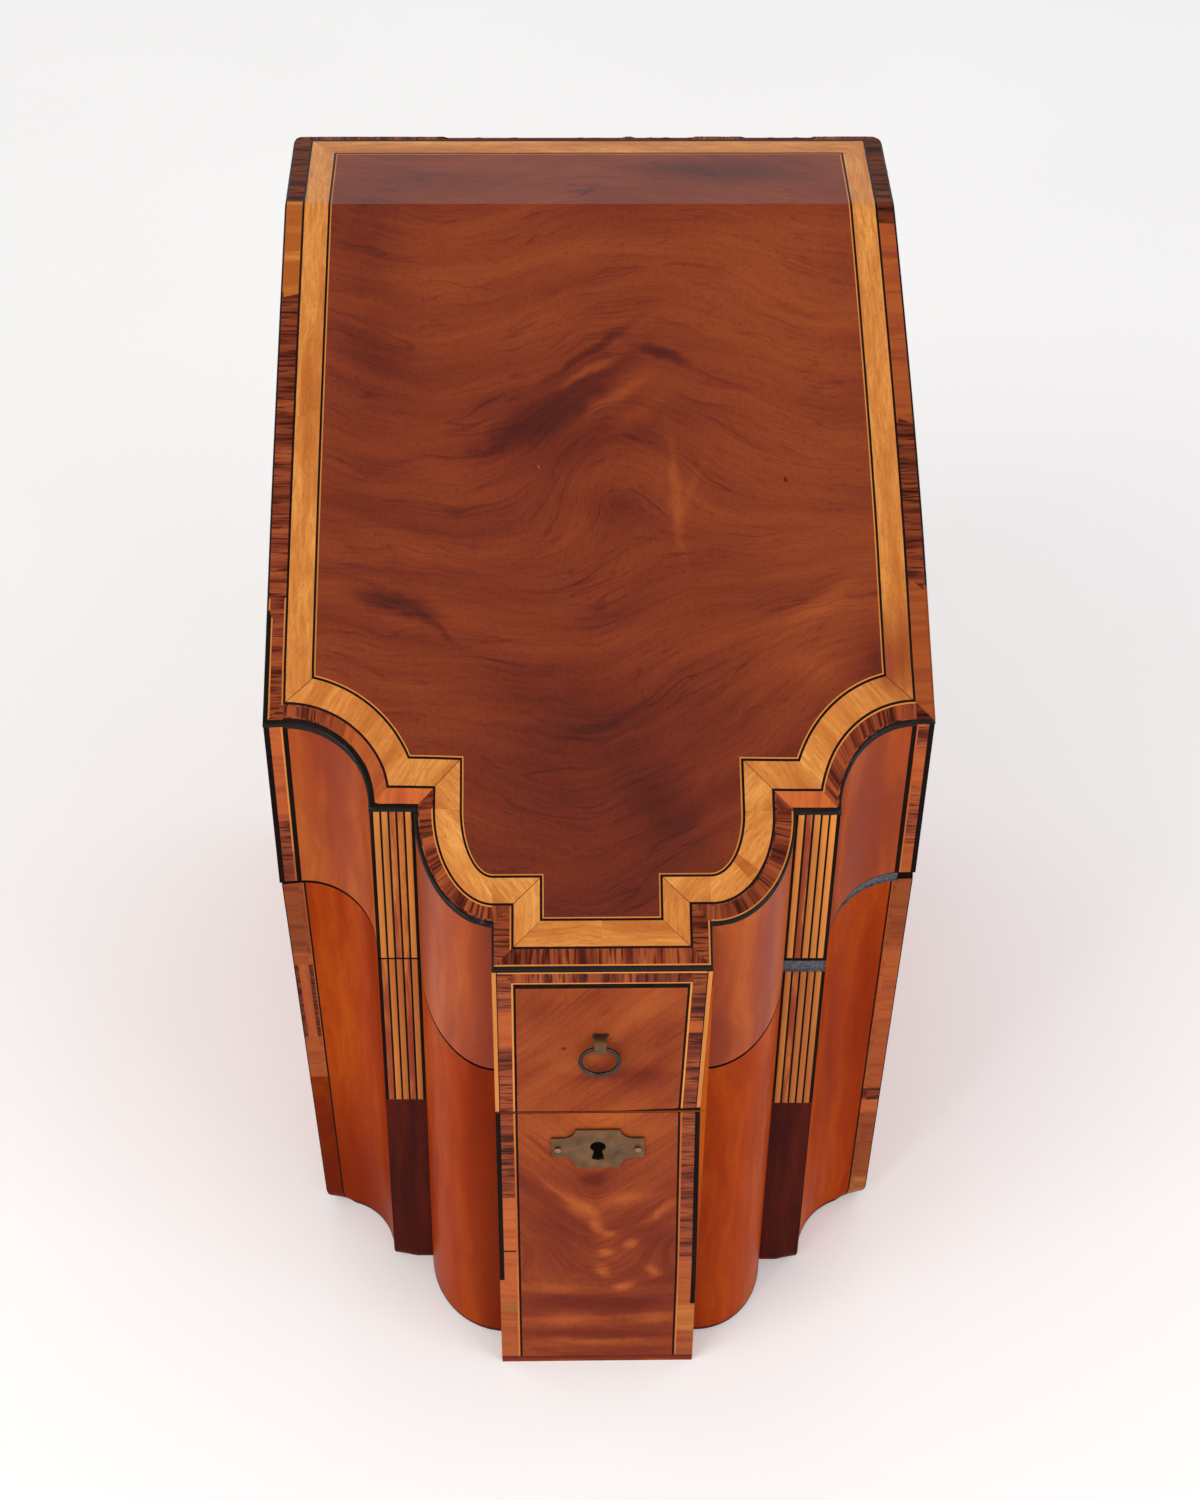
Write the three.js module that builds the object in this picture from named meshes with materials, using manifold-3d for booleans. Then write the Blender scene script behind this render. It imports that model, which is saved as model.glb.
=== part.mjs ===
// A knife box: a tall wooden case with a shaped front and a sloping hinged lid, fitted inside with a slotted
// board for cutlery. Millimetres, +Z up, the front faces -Y, left and right as seen from the front.
import * as THREE from 'three';
import { mergeVertices } from 'three/addons/utils/BufferGeometryUtils.js';
import Module from 'manifold-3d';

const wasm = await Module();
wasm.setup();

// Overall sizes. In the parts' own plan, y = 0 is the line of the front corners and x = 0 is the middle.
const HEIGHT = 356;
const LID_HALF_WIDTH = 115;
const CASE_HALF_WIDTH = 114.3;
const BACK_Y = 236;
const FRONT_Y = -77.5;

// The lid's top is flat at the back and slopes down from BREAK_Y to the front.
const BREAK_Y = 185;
const SLOPE = 0.505;
const SLOPE_ANGLE = Math.atan(SLOPE);
const LID_DEPTH = 73.5;

// The shaped front: a narrow stile, a hollow, a pilaster, an ovolo and the centre block's return.
const HOLLOW_X = 108.5;
const HOLLOW_RADIUS = 28.5;
const PILASTER_Y = -28.5;
const PILASTER_INNER_X = 64.5;
const PILASTER_BACK_Y = -8;
const CENTRE_HALF_WIDTH = 36.7;
const OVOLO_DEPTH = 35.5;
const ARC_STEPS = 12;
const INNER_ARC_STEPS = 8;
const INTERIOR_ARC_STEPS = 5;
const SMALL_ARC_STEPS = 6;

// Woodwork.
const WALL = 8;
const BACK_WALL = 10;
const CENTRE_BACK_Y = PILASTER_Y - OVOLO_DEPTH + WALL;
const TOP_BOARD = 8;
const VENEER = 1;
const GLUE = 0.3;
const FIELD_GAP = 0.2;
const JOINT_GAP = 0.6;
const BOTTOM = 8;
const CUTLERY_BOARD = 7;
const CUTLERY_BOARD_DROP = 12;
const CLEAT = 8;
const CLEAT_DEPTH = 10;
const CLEAT_START_Y = 12;
const DIVIDER = 4;
const DIVIDER_DROP = 31;
const DIVIDER_YS = [128, 38];

// Slots for knives and forks in rows, and two wide ones for spoons at the front.
const SLOT_ROW_YS = [202, 154, 106, 58];
const SLOT_XS = [-78, -39, 0, 39, 78];
const SLOT_WIDTH = 9;
const SLOT_LENGTH = 26;
const SPOON_SLOT_XS = [-26, 26];
const SPOON_SLOT_Y = 6;
const SPOON_SLOT_WIDTH = 38;
const SPOON_SLOT_LENGTH = 14;

// Bands round the lid's top, measured inwards from its edge. The back edge is trimmed narrower.
const CROSSBAND_OUTER = 0.4;
const CROSSBAND_INNER = 6.7;
const SATIN_OUTER = 7.3;
const SATIN_INNER = 16;
const FIELD_EDGE = 16.8;
const BACK_TRIM = 3.2;

// Hinges, on an axis just behind the back in the plane of the lid joint.
const HINGE_OUT = 2.7;
const HINGE_X = 66;
const LEAF_LENGTH = 38;
const LEAF_THICKNESS = 1.3;
const LEAF_INNER_U = -12.6;
const LEAF_OUTER_U = -2.9;
const LEAF_SIT = 0.15;
const KNUCKLE_RADIUS = 2.4;
const HINGE_PIN_RADIUS = 1;
const HINGE_BORE_RADIUS = 1.3;
const MIDDLE_KNUCKLE = 14.6;
const HINGE_SCREW_X = 12;
const HINGE_SCREW_U = -8.4;
const HINGE_SCREW_LENGTH = 6.5;

// Countersunk screws, and the round-headed pins of the escutcheon.
const SCREW_HEAD_RADIUS = 2.1;
const SCREW_HEAD_EDGE = 0.25;
const SCREW_HEAD_DEPTH = 1.35;
const SCREW_SHANK_RADIUS = 1.05;
const SCREW_POINT = 1;
const SCREW_SPARE = 0.25;
const PIN_DOME = [[0, 0.55], [0.7, 0.4], [1.2, 0]];
const PIN_SHANK_RADIUS = 0.6;
const PIN_SHANK = 6;
const PIN_POINT = 0.5;

// Lock, links and keyhole.
const KEYHOLE_Z = 131.8;
const KEYHOLE_RADIUS = 2.85;
const KEYHOLE_DROP = 6.7;
const KEYHOLE_WAIST = 1.7;
const KEYHOLE_FOOT = 2.1;
const LOCK_RECESS_HALF = 26;
const LOCK_RECESS_Y = -67.5;
const LOCK_RECESS_BOTTOM = 110;
const LOCK_SIT = 0.05;
const LOCK_PLATE_HALF = 25.5;
const LOCK_PLATE = 1.6;
const LOCK_PLATE_BOTTOM = 113;
const LOCK_CAP_HALF = 19.5;
const LOCK_CAP_BACK_Y = -55.2;
const LOCK_CAP_BOTTOM = 114;
const LOCK_CAP_TOP = 149;
const LOCK_CAP_WALL = 1.2;
const LOCK_CLEARANCE = 0.5;
const LOCK_SHELF_GAP = 5;
const DRILL_PIN_RADIUS = 1.1;
const DRILL_PIN_LENGTH = 14;
const SELVEDGE = 1.6;
const SELVEDGE_FRONT_U = -4;
const SELVEDGE_BACK_U = 7;
const LOCK_SCREW_X = 22.4;
const LOCK_SCREW_Z = 119;
const LOCK_SCREW_LENGTH = 8;
const LINK_Y = -63.5;
const LINK_XS = [-8, 8];
const LINK_THICKNESS = 2;
const LINK_WIDTH = 5.6;
const LINK_REACH = 9;
const LINK_HOLE_N = -6;
const LINK_HOLE = 3.6;
const LINK_PLATE_HALF = 20;
const LINK_PLATE = 1.4;
const LINK_PLATE_US = [-3, 5];
const LINK_SCREW_X = 15.5;
const LINK_SCREW_U = 1;
const LINK_SLOT_NS = [-4, 2];
const BOLT_NIB = 2.2;
const BOLT_NIB_LENGTH = 4.4;
const BOLT_POST = 3;
const BOLT_START_X = -17;
const BOLT_END_X = 8;
const BOLT_THICKNESS = 6;
const BOLT_TALON = 4.5;
const BOLT_TALON_DEPTH = 2.4;
const BOLT_BAR_LOW = 136.5;
const BOLT_BAR_HIGH = 142;
const BOLT_GAP = 0.6;

// Ring pull and its staple.
const RING_RADIUS = 6.75;
const RING_WIRE = 0.78;
const RING_STEPS = 32;
const WIRE_SIDES = 8;
const RING_PIVOT_Z = 185.5;
const RING_PIVOT_OUT = 2.1;
const STAPLE_WIDTH = 4.2;
const STAPLE_LOW = 183.2;
const STAPLE_HIGH = 190.2;
const STAPLE_STRAP = 0.8;
const STAPLE_OUT = 4.8;
const STAPLE_IN = 9;
const STAPLE_STEPS = 10;

// Escutcheon.
const PLATE_THICKNESS = 0.9;
const PLATE_HALF_WIDTH = 16.9;
const PLATE_HEAD_HALF = 8.1;
const PLATE_LOW = 120.4;
const PLATE_HIGH = 141;
const EAR_LOW = 126.1;
const EAR_HIGH = 136.4;
const NOTCH = 4.8;
const PLATE_PIN_X = 14.6;
const PLATE_PIN_Z = 130.9;
const PLATE_PIN_OUT = 0.1;

// PAST is how far a cutting shape runs past what it cuts, ROOT how far joined metal runs into its neighbour.
const PAST = 5;
const ROOT = 0.5;
const ROUND_SIDES = 12;
const BARREL_SIDES = 16;
const PIN_SIDES = 10;
const SAME_SPOT = 1e-3;
const WELD = 1e-4;

const RING_PIVOT_Y = FRONT_Y - RING_PIVOT_OUT;
const HINGE_Y = BACK_Y + HINGE_OUT;
const FRONTMOST_Y = FRONT_Y - STAPLE_OUT;
const BACKMOST_Y = HINGE_Y + KNUCKLE_RADIUS;
const CENTRE_Y = (FRONTMOST_Y + BACKMOST_Y) / 2;

const topZ = (y) => HEIGHT - SLOPE * Math.max(0, BREAK_Y - y);
const jointZ = (y) => HEIGHT - LID_DEPTH - SLOPE * (BREAK_Y - y);

function finish(color, roughness, metalness = 0) {
  return () => new THREE.MeshStandardMaterial({ color, roughness, metalness });
}
const mahogany = finish(0x8a3a1c, 0.3);
const flameMahogany = finish(0x7a3220, 0.25);
const satinwood = finish(0xd28f4a, 0.3);
const rosewood = finish(0x5a241a, 0.3);
const inlaidWood = finish(0xb9702f, 0.3);
const deal = finish(0xb98b5c, 0.8);
const brass = finish(0x80633c, 0.45, 0.9);
const iron = finish(0x4a4640, 0.5, 0.9);

const toSolid = (geometry) => {
  const bare = geometry.index ? geometry.toNonIndexed() : geometry.clone();
  bare.deleteAttribute('normal');
  bare.deleteAttribute('uv');
  const merged = mergeVertices(bare, WELD);
  return new wasm.Manifold(new wasm.Mesh({
    numProp: 3,
    vertProperties: new Float32Array(merged.attributes.position.array),
    triVerts: new Uint32Array(merged.index.array),
  }));
};

const toGeometry = (solid) => {
  const { vertProperties, triVerts } = solid.getMesh();
  const geometry = new THREE.BufferGeometry();
  geometry.setAttribute('position', new THREE.BufferAttribute(vertProperties, 3));
  geometry.setIndex(new THREE.BufferAttribute(triVerts, 1));
  geometry.computeVertexNormals();
  return geometry;
};

// Extrudes an outline and lays it so that outline a, b and the depth run along the three given axes.
function extrude(outline, depth, axes) {
  const shape = new THREE.Shape(outline.map(([a, b]) => new THREE.Vector2(a, b)));
  const geometry = new THREE.ExtrudeGeometry(shape, { depth, bevelEnabled: false });
  const [a, b, c] = axes.map((axis) => new THREE.Vector3(...axis));
  return geometry.applyMatrix4(new THREE.Matrix4().makeBasis(a, b, c));
}
const X = [1, 0, 0];
const Y = [0, 1, 0];
const Z = [0, 0, 1];
const MINUS_Y = [0, -1, 0];

// A plan outline raised from z = 0 to above the lid.
const column = (plan) => toSolid(extrude(plan, HEIGHT + PAST, [X, Y, Z]));

// A side outline in y and z, drawn from x = low to x = high.
const slab = (outline, low = -LID_HALF_WIDTH - PAST, high = LID_HALF_WIDTH + PAST) =>
  toSolid(extrude(outline, high - low, [Y, Z, X]).translate(low, 0, 0));

// An outline in x and z, from the plane y = back forwards by depth.
const facing = (outline, back, depth) => toSolid(extrude(outline, depth, [X, Z, MINUS_Y]).translate(0, back, 0));

const block = (low, high) => {
  const size = high.map((value, i) => value - low[i]);
  const middle = high.map((value, i) => (value + low[i]) / 2);
  return toSolid(new THREE.BoxGeometry(...size).translate(...middle));
};

// Layers between two surfaces that follow the joint or the top, from y = start to y = end.
function layer(lower, upper, start = FRONT_Y - PAST, end = BACK_Y + PAST) {
  const ys = start < BREAK_Y && end > BREAK_Y ? [start, BREAK_Y, end] : [start, end];
  return slab([...ys.map((y) => [y, lower(y)]), ...ys.reverse().map((y) => [y, upper(y)])]);
}
const caseLayer = () => layer(() => 0, (y) => jointZ(y) - JOINT_GAP / 2);
const lidWallTop = (y) => topZ(y) - VENEER - TOP_BOARD - 2 * GLUE;
const lidLayer = () => layer((y) => jointZ(y) + JOINT_GAP / 2, lidWallTop);
const boardLayer = (start, end) =>
  layer((y) => topZ(y) - VENEER - TOP_BOARD - GLUE, (y) => topZ(y) - VENEER - GLUE, start, end);
const veneerLayer = (start, end) => layer((y) => topZ(y) - VENEER, topZ, start, end);

function arc(centreX, centreY, radiusX, radiusY, start, end, steps = ARC_STEPS) {
  return Array.from({ length: steps + 1 }, (_, i) => {
    const angle = start + ((end - start) * i) / steps;
    return [centreX + radiusX * Math.cos(angle), centreY + radiusY * Math.sin(angle)];
  });
}

// The right half of the shaped front, moved inwards by inset, from the side to the middle.
function halfFront(inset, halfWidth) {
  const side = halfWidth - inset;
  const radius = HOLLOW_RADIUS + inset;
  const start = side > HOLLOW_X ? Math.PI / 2 : Math.PI - Math.acos((HOLLOW_X - side) / radius);
  const end = Math.PI - Math.asin(inset / radius);
  const stile = side > HOLLOW_X ? [[side, inset]] : [];
  const ovoloX = PILASTER_INNER_X - inset;
  return [
    ...stile,
    ...arc(HOLLOW_X, PILASTER_Y, radius, radius, start, end),
    [ovoloX, PILASTER_Y + inset],
    ...arc(CENTRE_HALF_WIDTH, PILASTER_Y, ovoloX - CENTRE_HALF_WIDTH, OVOLO_DEPTH - inset, 0, -Math.PI / 2),
    [CENTRE_HALF_WIDTH - inset, PILASTER_Y - OVOLO_DEPTH + inset],
    [CENTRE_HALF_WIDTH - inset, FRONT_Y + inset],
  ];
}

const sameSpot = ([a, b], [c, d]) => Math.hypot(a - c, b - d) < SAME_SPOT;
const mirrored = (points) => points.map(([x, y]) => [-x, y]);

// The whole outline of the box moved inwards by inset.
function outline(inset, halfWidth, back = BACK_Y - inset) {
  const right = [[halfWidth - inset, back], ...halfFront(inset, halfWidth)];
  return [...right, ...mirrored(right).reverse()].filter((p, i, all) => i === 0 || !sameSpot(p, all[i - 1]));
}
const bandOutline = (inset) => outline(inset, LID_HALF_WIDTH, BACK_Y - Math.max(CROSSBAND_OUTER, inset - BACK_TRIM));

const model = new THREE.Group();
function add(name, solid, material, parent = model) {
  const mesh = new THREE.Mesh(solid.isBufferGeometry ? solid : toGeometry(solid), material());
  mesh.name = name;
  parent.add(mesh);
  return mesh;
}

// Plans of the shaped front's five kinds of piece, for the right side where there are two.
function hollowPlan(halfWidth) {
  const outerEnd = Math.PI - Math.acos((HOLLOW_X - sideBoardX(halfWidth) + GLUE) / HOLLOW_RADIUS);
  const cutX = HOLLOW_X - HOLLOW_RADIUS + GLUE;
  const outerCut = Math.PI - Math.acos((HOLLOW_X - cutX) / HOLLOW_RADIUS);
  const inner = HOLLOW_RADIUS + WALL;
  const innerEnd = Math.PI - Math.acos((HOLLOW_X - sideBoardX(halfWidth) + GLUE) / inner);
  const innerCut = Math.PI - Math.acos((HOLLOW_X - cutX) / inner);
  return [
    ...arc(HOLLOW_X, PILASTER_Y, HOLLOW_RADIUS, HOLLOW_RADIUS, outerEnd, outerCut),
    ...arc(HOLLOW_X, PILASTER_Y, inner, inner, innerCut, innerEnd, SMALL_ARC_STEPS),
  ];
}
const sideBoardX = (halfWidth) => halfWidth - WALL;
const sidePlan = (halfWidth) => [
  [halfWidth, 0], [sideBoardX(halfWidth), 0], [sideBoardX(halfWidth), BACK_Y - BACK_WALL - GLUE],
  [halfWidth, BACK_Y - BACK_WALL - GLUE],
];
const pilasterPlan = () => {
  const outer = HOLLOW_X - HOLLOW_RADIUS;
  return [
    [PILASTER_INNER_X, PILASTER_Y], [outer, PILASTER_Y], [outer, PILASTER_BACK_Y],
    [PILASTER_INNER_X, PILASTER_BACK_Y],
  ];
};
const ovoloPlan = () => {
  const outer = PILASTER_INNER_X - GLUE;
  const start = CENTRE_HALF_WIDTH + GLUE;
  const turn = -Math.PI / 2;
  const outerArc = arc(start, PILASTER_Y, outer - start, OVOLO_DEPTH, 0, turn);
  const innerArc = arc(start, PILASTER_Y, outer - WALL - start, OVOLO_DEPTH - WALL, turn, 0, INNER_ARC_STEPS);
  return [[outer, PILASTER_BACK_Y], ...outerArc, ...innerArc, [outer - WALL, PILASTER_BACK_Y]];
};
const centrePlan = () => [
  [CENTRE_HALF_WIDTH, FRONT_Y], [CENTRE_HALF_WIDTH, CENTRE_BACK_Y], [-CENTRE_HALF_WIDTH, CENTRE_BACK_Y],
  [-CENTRE_HALF_WIDTH, FRONT_Y],
];
const backPlan = (halfWidth) => [
  [halfWidth, BACK_Y - BACK_WALL], [halfWidth, BACK_Y], [-halfWidth, BACK_Y], [-halfWidth, BACK_Y - BACK_WALL],
];
const SIDES = [['left', -1], ['right', 1]];
const onSide = (plan, side) => plan.map(([x, y]) => [side * x, y]);

// The five pieces that the case and the lid both have on each side of the centre.
function addWalls(prefix, halfWidth, makeLayer) {
  const pieces = [
    ['side', sidePlan(halfWidth), mahogany], ['hollow', hollowPlan(halfWidth), mahogany],
    ['pilaster', pilasterPlan(), inlaidWood], ['ovolo', ovoloPlan(), mahogany],
  ];
  for (const [piece, plan, material] of pieces) {
    for (const [name, side] of SIDES) {
      add(`${prefix}_${piece}_${name}`, column(onSide(plan, side)).intersect(makeLayer()), material);
    }
  }
}

// The plan of everything inside the case's walls.
function interiorPlan(halfWidth) {
  const side = sideBoardX(halfWidth) - GLUE;
  const radius = HOLLOW_RADIUS + WALL + GLUE;
  const pilasterBack = PILASTER_BACK_Y + GLUE;
  const start = Math.PI - Math.acos((HOLLOW_X - side) / radius);
  const end = Math.PI - Math.asin((pilasterBack - PILASTER_Y) / radius);
  const ovoloX = PILASTER_INNER_X - WALL - 2 * GLUE;
  const ovoloDepth = OVOLO_DEPTH - WALL - GLUE;
  const right = [
    [side, BACK_Y - BACK_WALL - GLUE],
    ...arc(HOLLOW_X, PILASTER_Y, radius, radius, start, end, INTERIOR_ARC_STEPS),
    [ovoloX, pilasterBack],
    ...arc(CENTRE_HALF_WIDTH, PILASTER_Y, ovoloX - CENTRE_HALF_WIDTH, ovoloDepth, 0, -Math.PI / 2, INNER_ARC_STEPS),
  ];
  return [...right, ...mirrored(right).reverse()];
}

// Turned shapes about the z axis, drawn from top to bottom as [radius, height] pairs that end on the axis.
function turned(profile, sides = ROUND_SIDES) {
  const rising = profile.map(([r, z]) => new THREE.Vector2(r, z)).reverse();
  return new THREE.LatheGeometry(rising, sides).rotateX(Math.PI / 2);
}

// A countersunk wood screw, its head flush with z = 0 and its point down. spare makes the hole it needs.
const screwProfile = (length, spare = 0) => [
  [0, spare],
  [SCREW_HEAD_RADIUS + spare, spare],
  [SCREW_HEAD_RADIUS + spare, -SCREW_HEAD_EDGE],
  [SCREW_SHANK_RADIUS + spare, -SCREW_HEAD_DEPTH],
  [SCREW_SHANK_RADIUS + spare, -length + SCREW_POINT],
  [0, -length - spare],
];

// The joint's own frame: x across, y up the slope, z square to the joint.
function jointFrame(y) {
  const frame = new THREE.Group();
  frame.position.set(0, y, jointZ(y));
  frame.rotation.x = SLOPE_ANGLE;
  frame.updateMatrix();
  return frame;
}
const placed = (geometry, frame) => toSolid(geometry.clone().applyMatrix4(frame.matrix));
const boxAt = (x, u, n) =>
  new THREE.BoxGeometry(x[1] - x[0], u[1] - u[0], n[1] - n[0])
    .translate((x[0] + x[1]) / 2, (u[0] + u[1]) / 2, (n[0] + n[1]) / 2);

function addCase() {
  addWalls('case', CASE_HALF_WIDTH, caseLayer);
  const inside = interiorPlan(CASE_HALF_WIDTH);
  add('case_bottom', toSolid(extrude(inside, BOTTOM, [X, Y, Z])), deal);

  const boardTop = (y) => jointZ(y) - CUTLERY_BOARD_DROP;
  const boardUnder = (y) => boardTop(y) - CUTLERY_BOARD;
  let board = column(inside).intersect(layer(boardUnder, boardTop));
  for (const y of SLOT_ROW_YS) {
    for (const x of SLOT_XS) {
      board = board.subtract(slotCutter(x, y, SLOT_WIDTH, SLOT_LENGTH));
    }
  }
  for (const x of SPOON_SLOT_XS) {
    board = board.subtract(slotCutter(x, SPOON_SLOT_Y, SPOON_SLOT_WIDTH, SPOON_SLOT_LENGTH));
  }
  const lockNotch = block([-LOCK_CAP_HALF - LOCK_CLEARANCE, FRONT_Y, BOTTOM],
    [LOCK_CAP_HALF + LOCK_CLEARANCE, LOCK_CAP_BACK_Y + LOCK_CLEARANCE, HEIGHT]);
  add('cutlery_board', board.subtract(lockNotch), flameMahogany);

  const cleatTop = (y) => boardUnder(y) - GLUE;
  const cleatUnder = (y) => cleatTop(y) - CLEAT_DEPTH;
  const innerX = sideBoardX(CASE_HALF_WIDTH) - GLUE;
  const innerBack = BACK_Y - BACK_WALL - GLUE;
  for (const [name, side] of SIDES) {
    const plan = [[innerX - CLEAT, CLEAT_START_Y], [innerX, CLEAT_START_Y], [innerX, innerBack],
      [innerX - CLEAT, innerBack]];
    add(`cleat_${name}`, column(onSide(plan, side)).intersect(layer(cleatUnder, cleatTop)), deal);
  }
  const backHalf = innerX - CLEAT - GLUE;
  const backCleat = [[-backHalf, innerBack - CLEAT], [backHalf, innerBack - CLEAT], [backHalf, innerBack],
    [-backHalf, innerBack]];
  add('cleat_back', column(backCleat).intersect(layer(cleatUnder, cleatTop)), deal);

  DIVIDER_YS.forEach((y, i) => {
    const plan = [[-innerX, y - DIVIDER / 2], [innerX, y - DIVIDER / 2], [innerX, y + DIVIDER / 2],
      [-innerX, y + DIVIDER / 2]];
    const rise = layer(() => BOTTOM + GLUE, (along) => jointZ(along) - DIVIDER_DROP);
    add(`blade_divider_${i + 1}`, column(plan).intersect(rise), deal);
  });
}

const slotCutter = (x, y, width, length) =>
  block([x - width / 2, y - length / 2, BOTTOM], [x + width / 2, y + length / 2, HEIGHT]);

function addLid() {
  addWalls('lid', LID_HALF_WIDTH, lidLayer);
  const whole = column(outline(0, LID_HALF_WIDTH, BACK_Y));
  add('lid_top_board', whole.intersect(boardLayer(FRONT_Y - PAST, BREAK_Y - GLUE / 2)), mahogany);
  add('lid_back_board', whole.intersect(boardLayer(BREAK_Y + GLUE / 2, BACK_Y + PAST)), mahogany);
  const field = column(bandOutline(FIELD_EDGE));
  const slope = veneerLayer(FRONT_Y - PAST, BREAK_Y - FIELD_GAP / 2);
  const flat = veneerLayer(BREAK_Y + FIELD_GAP / 2, BACK_Y + PAST);
  add('field_veneer_slope', field.intersect(slope), flameMahogany);
  add('field_veneer_flat', field.intersect(flat), flameMahogany);
  const ring = (outer, inner) => column(bandOutline(outer)).subtract(column(bandOutline(inner)));
  add('satinwood_band', ring(SATIN_OUTER, SATIN_INNER).intersect(veneerLayer()), satinwood);
  add('crossband', ring(CROSSBAND_OUTER, CROSSBAND_INNER).intersect(veneerLayer()), rosewood);
}

// The keyhole's outline in x and z: a round top over a slot that widens at its foot.
function keyholeOutline() {
  const meet = Math.asin(KEYHOLE_WAIST / KEYHOLE_RADIUS);
  const foot = KEYHOLE_Z - KEYHOLE_DROP;
  return [
    [KEYHOLE_FOOT, foot],
    ...arc(0, KEYHOLE_Z, KEYHOLE_RADIUS, KEYHOLE_RADIUS, meet - Math.PI / 2, 1.5 * Math.PI - meet),
    [-KEYHOLE_FOOT, foot],
  ];
}

// The escutcheon's outline: a tall middle with an ear each side and hollow notches between them.
function escutcheonOutline() {
  const notch = (z, depth, start, end) =>
    arc(PLATE_HEAD_HALF + NOTCH, z, NOTCH, depth, start, end, SMALL_ARC_STEPS);
  const right = [
    [PLATE_HEAD_HALF, PLATE_LOW],
    ...notch(PLATE_LOW, EAR_LOW - PLATE_LOW, Math.PI, Math.PI / 2),
    [PLATE_HALF_WIDTH, EAR_LOW],
    [PLATE_HALF_WIDTH, EAR_HIGH],
    ...notch(PLATE_HIGH, PLATE_HIGH - EAR_HIGH, -Math.PI / 2, -Math.PI),
  ];
  const all = [...right, ...mirrored(right).reverse()];
  return all.filter((p, i) => i === 0 || !sameSpot(p, all[i - 1]));
}

const platePin = (spare = 0) => [
  ...PIN_DOME.map(([radius, height]) => [radius ? radius + spare : 0, (height || spare) + spare]),
  [PIN_SHANK_RADIUS + spare, 0],
  [PIN_SHANK_RADIUS + spare, -PIN_SHANK],
  [0, -PIN_SHANK - PIN_POINT - spare],
];
const pinPlace = (profile, x) => {
  const headY = FRONT_Y - GLUE - PLATE_THICKNESS - PLATE_PIN_OUT;
  return turned(profile, PIN_SIDES).rotateX(Math.PI / 2).translate(x, headY, PLATE_PIN_Z);
};

// A countersunk screw and the hole it needs, both put in place by the same move.
function makeScrew(length, place) {
  const shape = (spare) => toSolid(place(turned(screwProfile(length, spare))));
  return { screw: shape(0), hole: shape(SCREW_SPARE) };
}

// One butt hinge: two leaves let into the rims of case and lid, five knuckles' worth of barrel, and a pin.
function addHinge(name, centreX, backs) {
  const frame = jointFrame(HINGE_Y);
  const half = LEAF_LENGTH / 2;
  const middle = MIDDLE_KNUCKLE / 2;
  const barrel = (start, end, radius, sides = BARREL_SIDES) =>
    placed(new THREE.CylinderGeometry(radius, radius, end - start, sides).rotateZ(Math.PI / 2)
      .translate(centreX + (start + end) / 2, 0, 0), frame);
  const knuckles = {
    lower: [[-half, -middle - GLUE], [middle + GLUE, half]],
    upper: [[-middle, middle]],
  };
  for (const [leafName, side] of [['lower', -1], ['upper', 1]]) {
    const sheet = [side * LEAF_SIT, side * (LEAF_SIT + LEAF_THICKNESS)].sort((a, b) => a - b);
    const plate = (start, end, inner, outer, spare = 0) =>
      placed(boxAt([centreX + start - spare, centreX + end + spare], [inner - spare, outer],
        [sheet[0] - spare, sheet[1] + spare]), frame);
    let leaf = plate(-half, half, LEAF_INNER_U, LEAF_OUTER_U);
    for (const [start, end] of knuckles[leafName]) {
      leaf = leaf.add(plate(start, end, LEAF_OUTER_U - ROOT, 0)).add(barrel(start, end, KNUCKLE_RADIUS));
    }
    leaf = leaf.subtract(barrel(-half - PAST, half + PAST, HINGE_BORE_RADIUS, ROUND_SIDES));
    let wood = backs[leafName].subtract(plate(-half, half, LEAF_INNER_U, 0, GLUE));
    for (const [screwName, offset] of [['a', -HINGE_SCREW_X], ['b', HINGE_SCREW_X]]) {
      const { screw, hole } = makeScrew(HINGE_SCREW_LENGTH, (geometry) =>
        geometry.rotateX(side > 0 ? Math.PI : 0)
          .translate(centreX + offset, HINGE_SCREW_U, side * LEAF_SIT).applyMatrix4(frame.matrix));
      leaf = leaf.subtract(hole);
      wood = wood.subtract(hole);
      add(`${name}_${leafName}_screw_${screwName}`, screw, brass);
    }
    backs[leafName] = wood;
    add(`${name}_${leafName}_leaf`, leaf, brass);
  }
  add(`${name}_pin`, barrel(-half, half, HINGE_PIN_RADIUS, ROUND_SIDES), brass);
}

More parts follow.
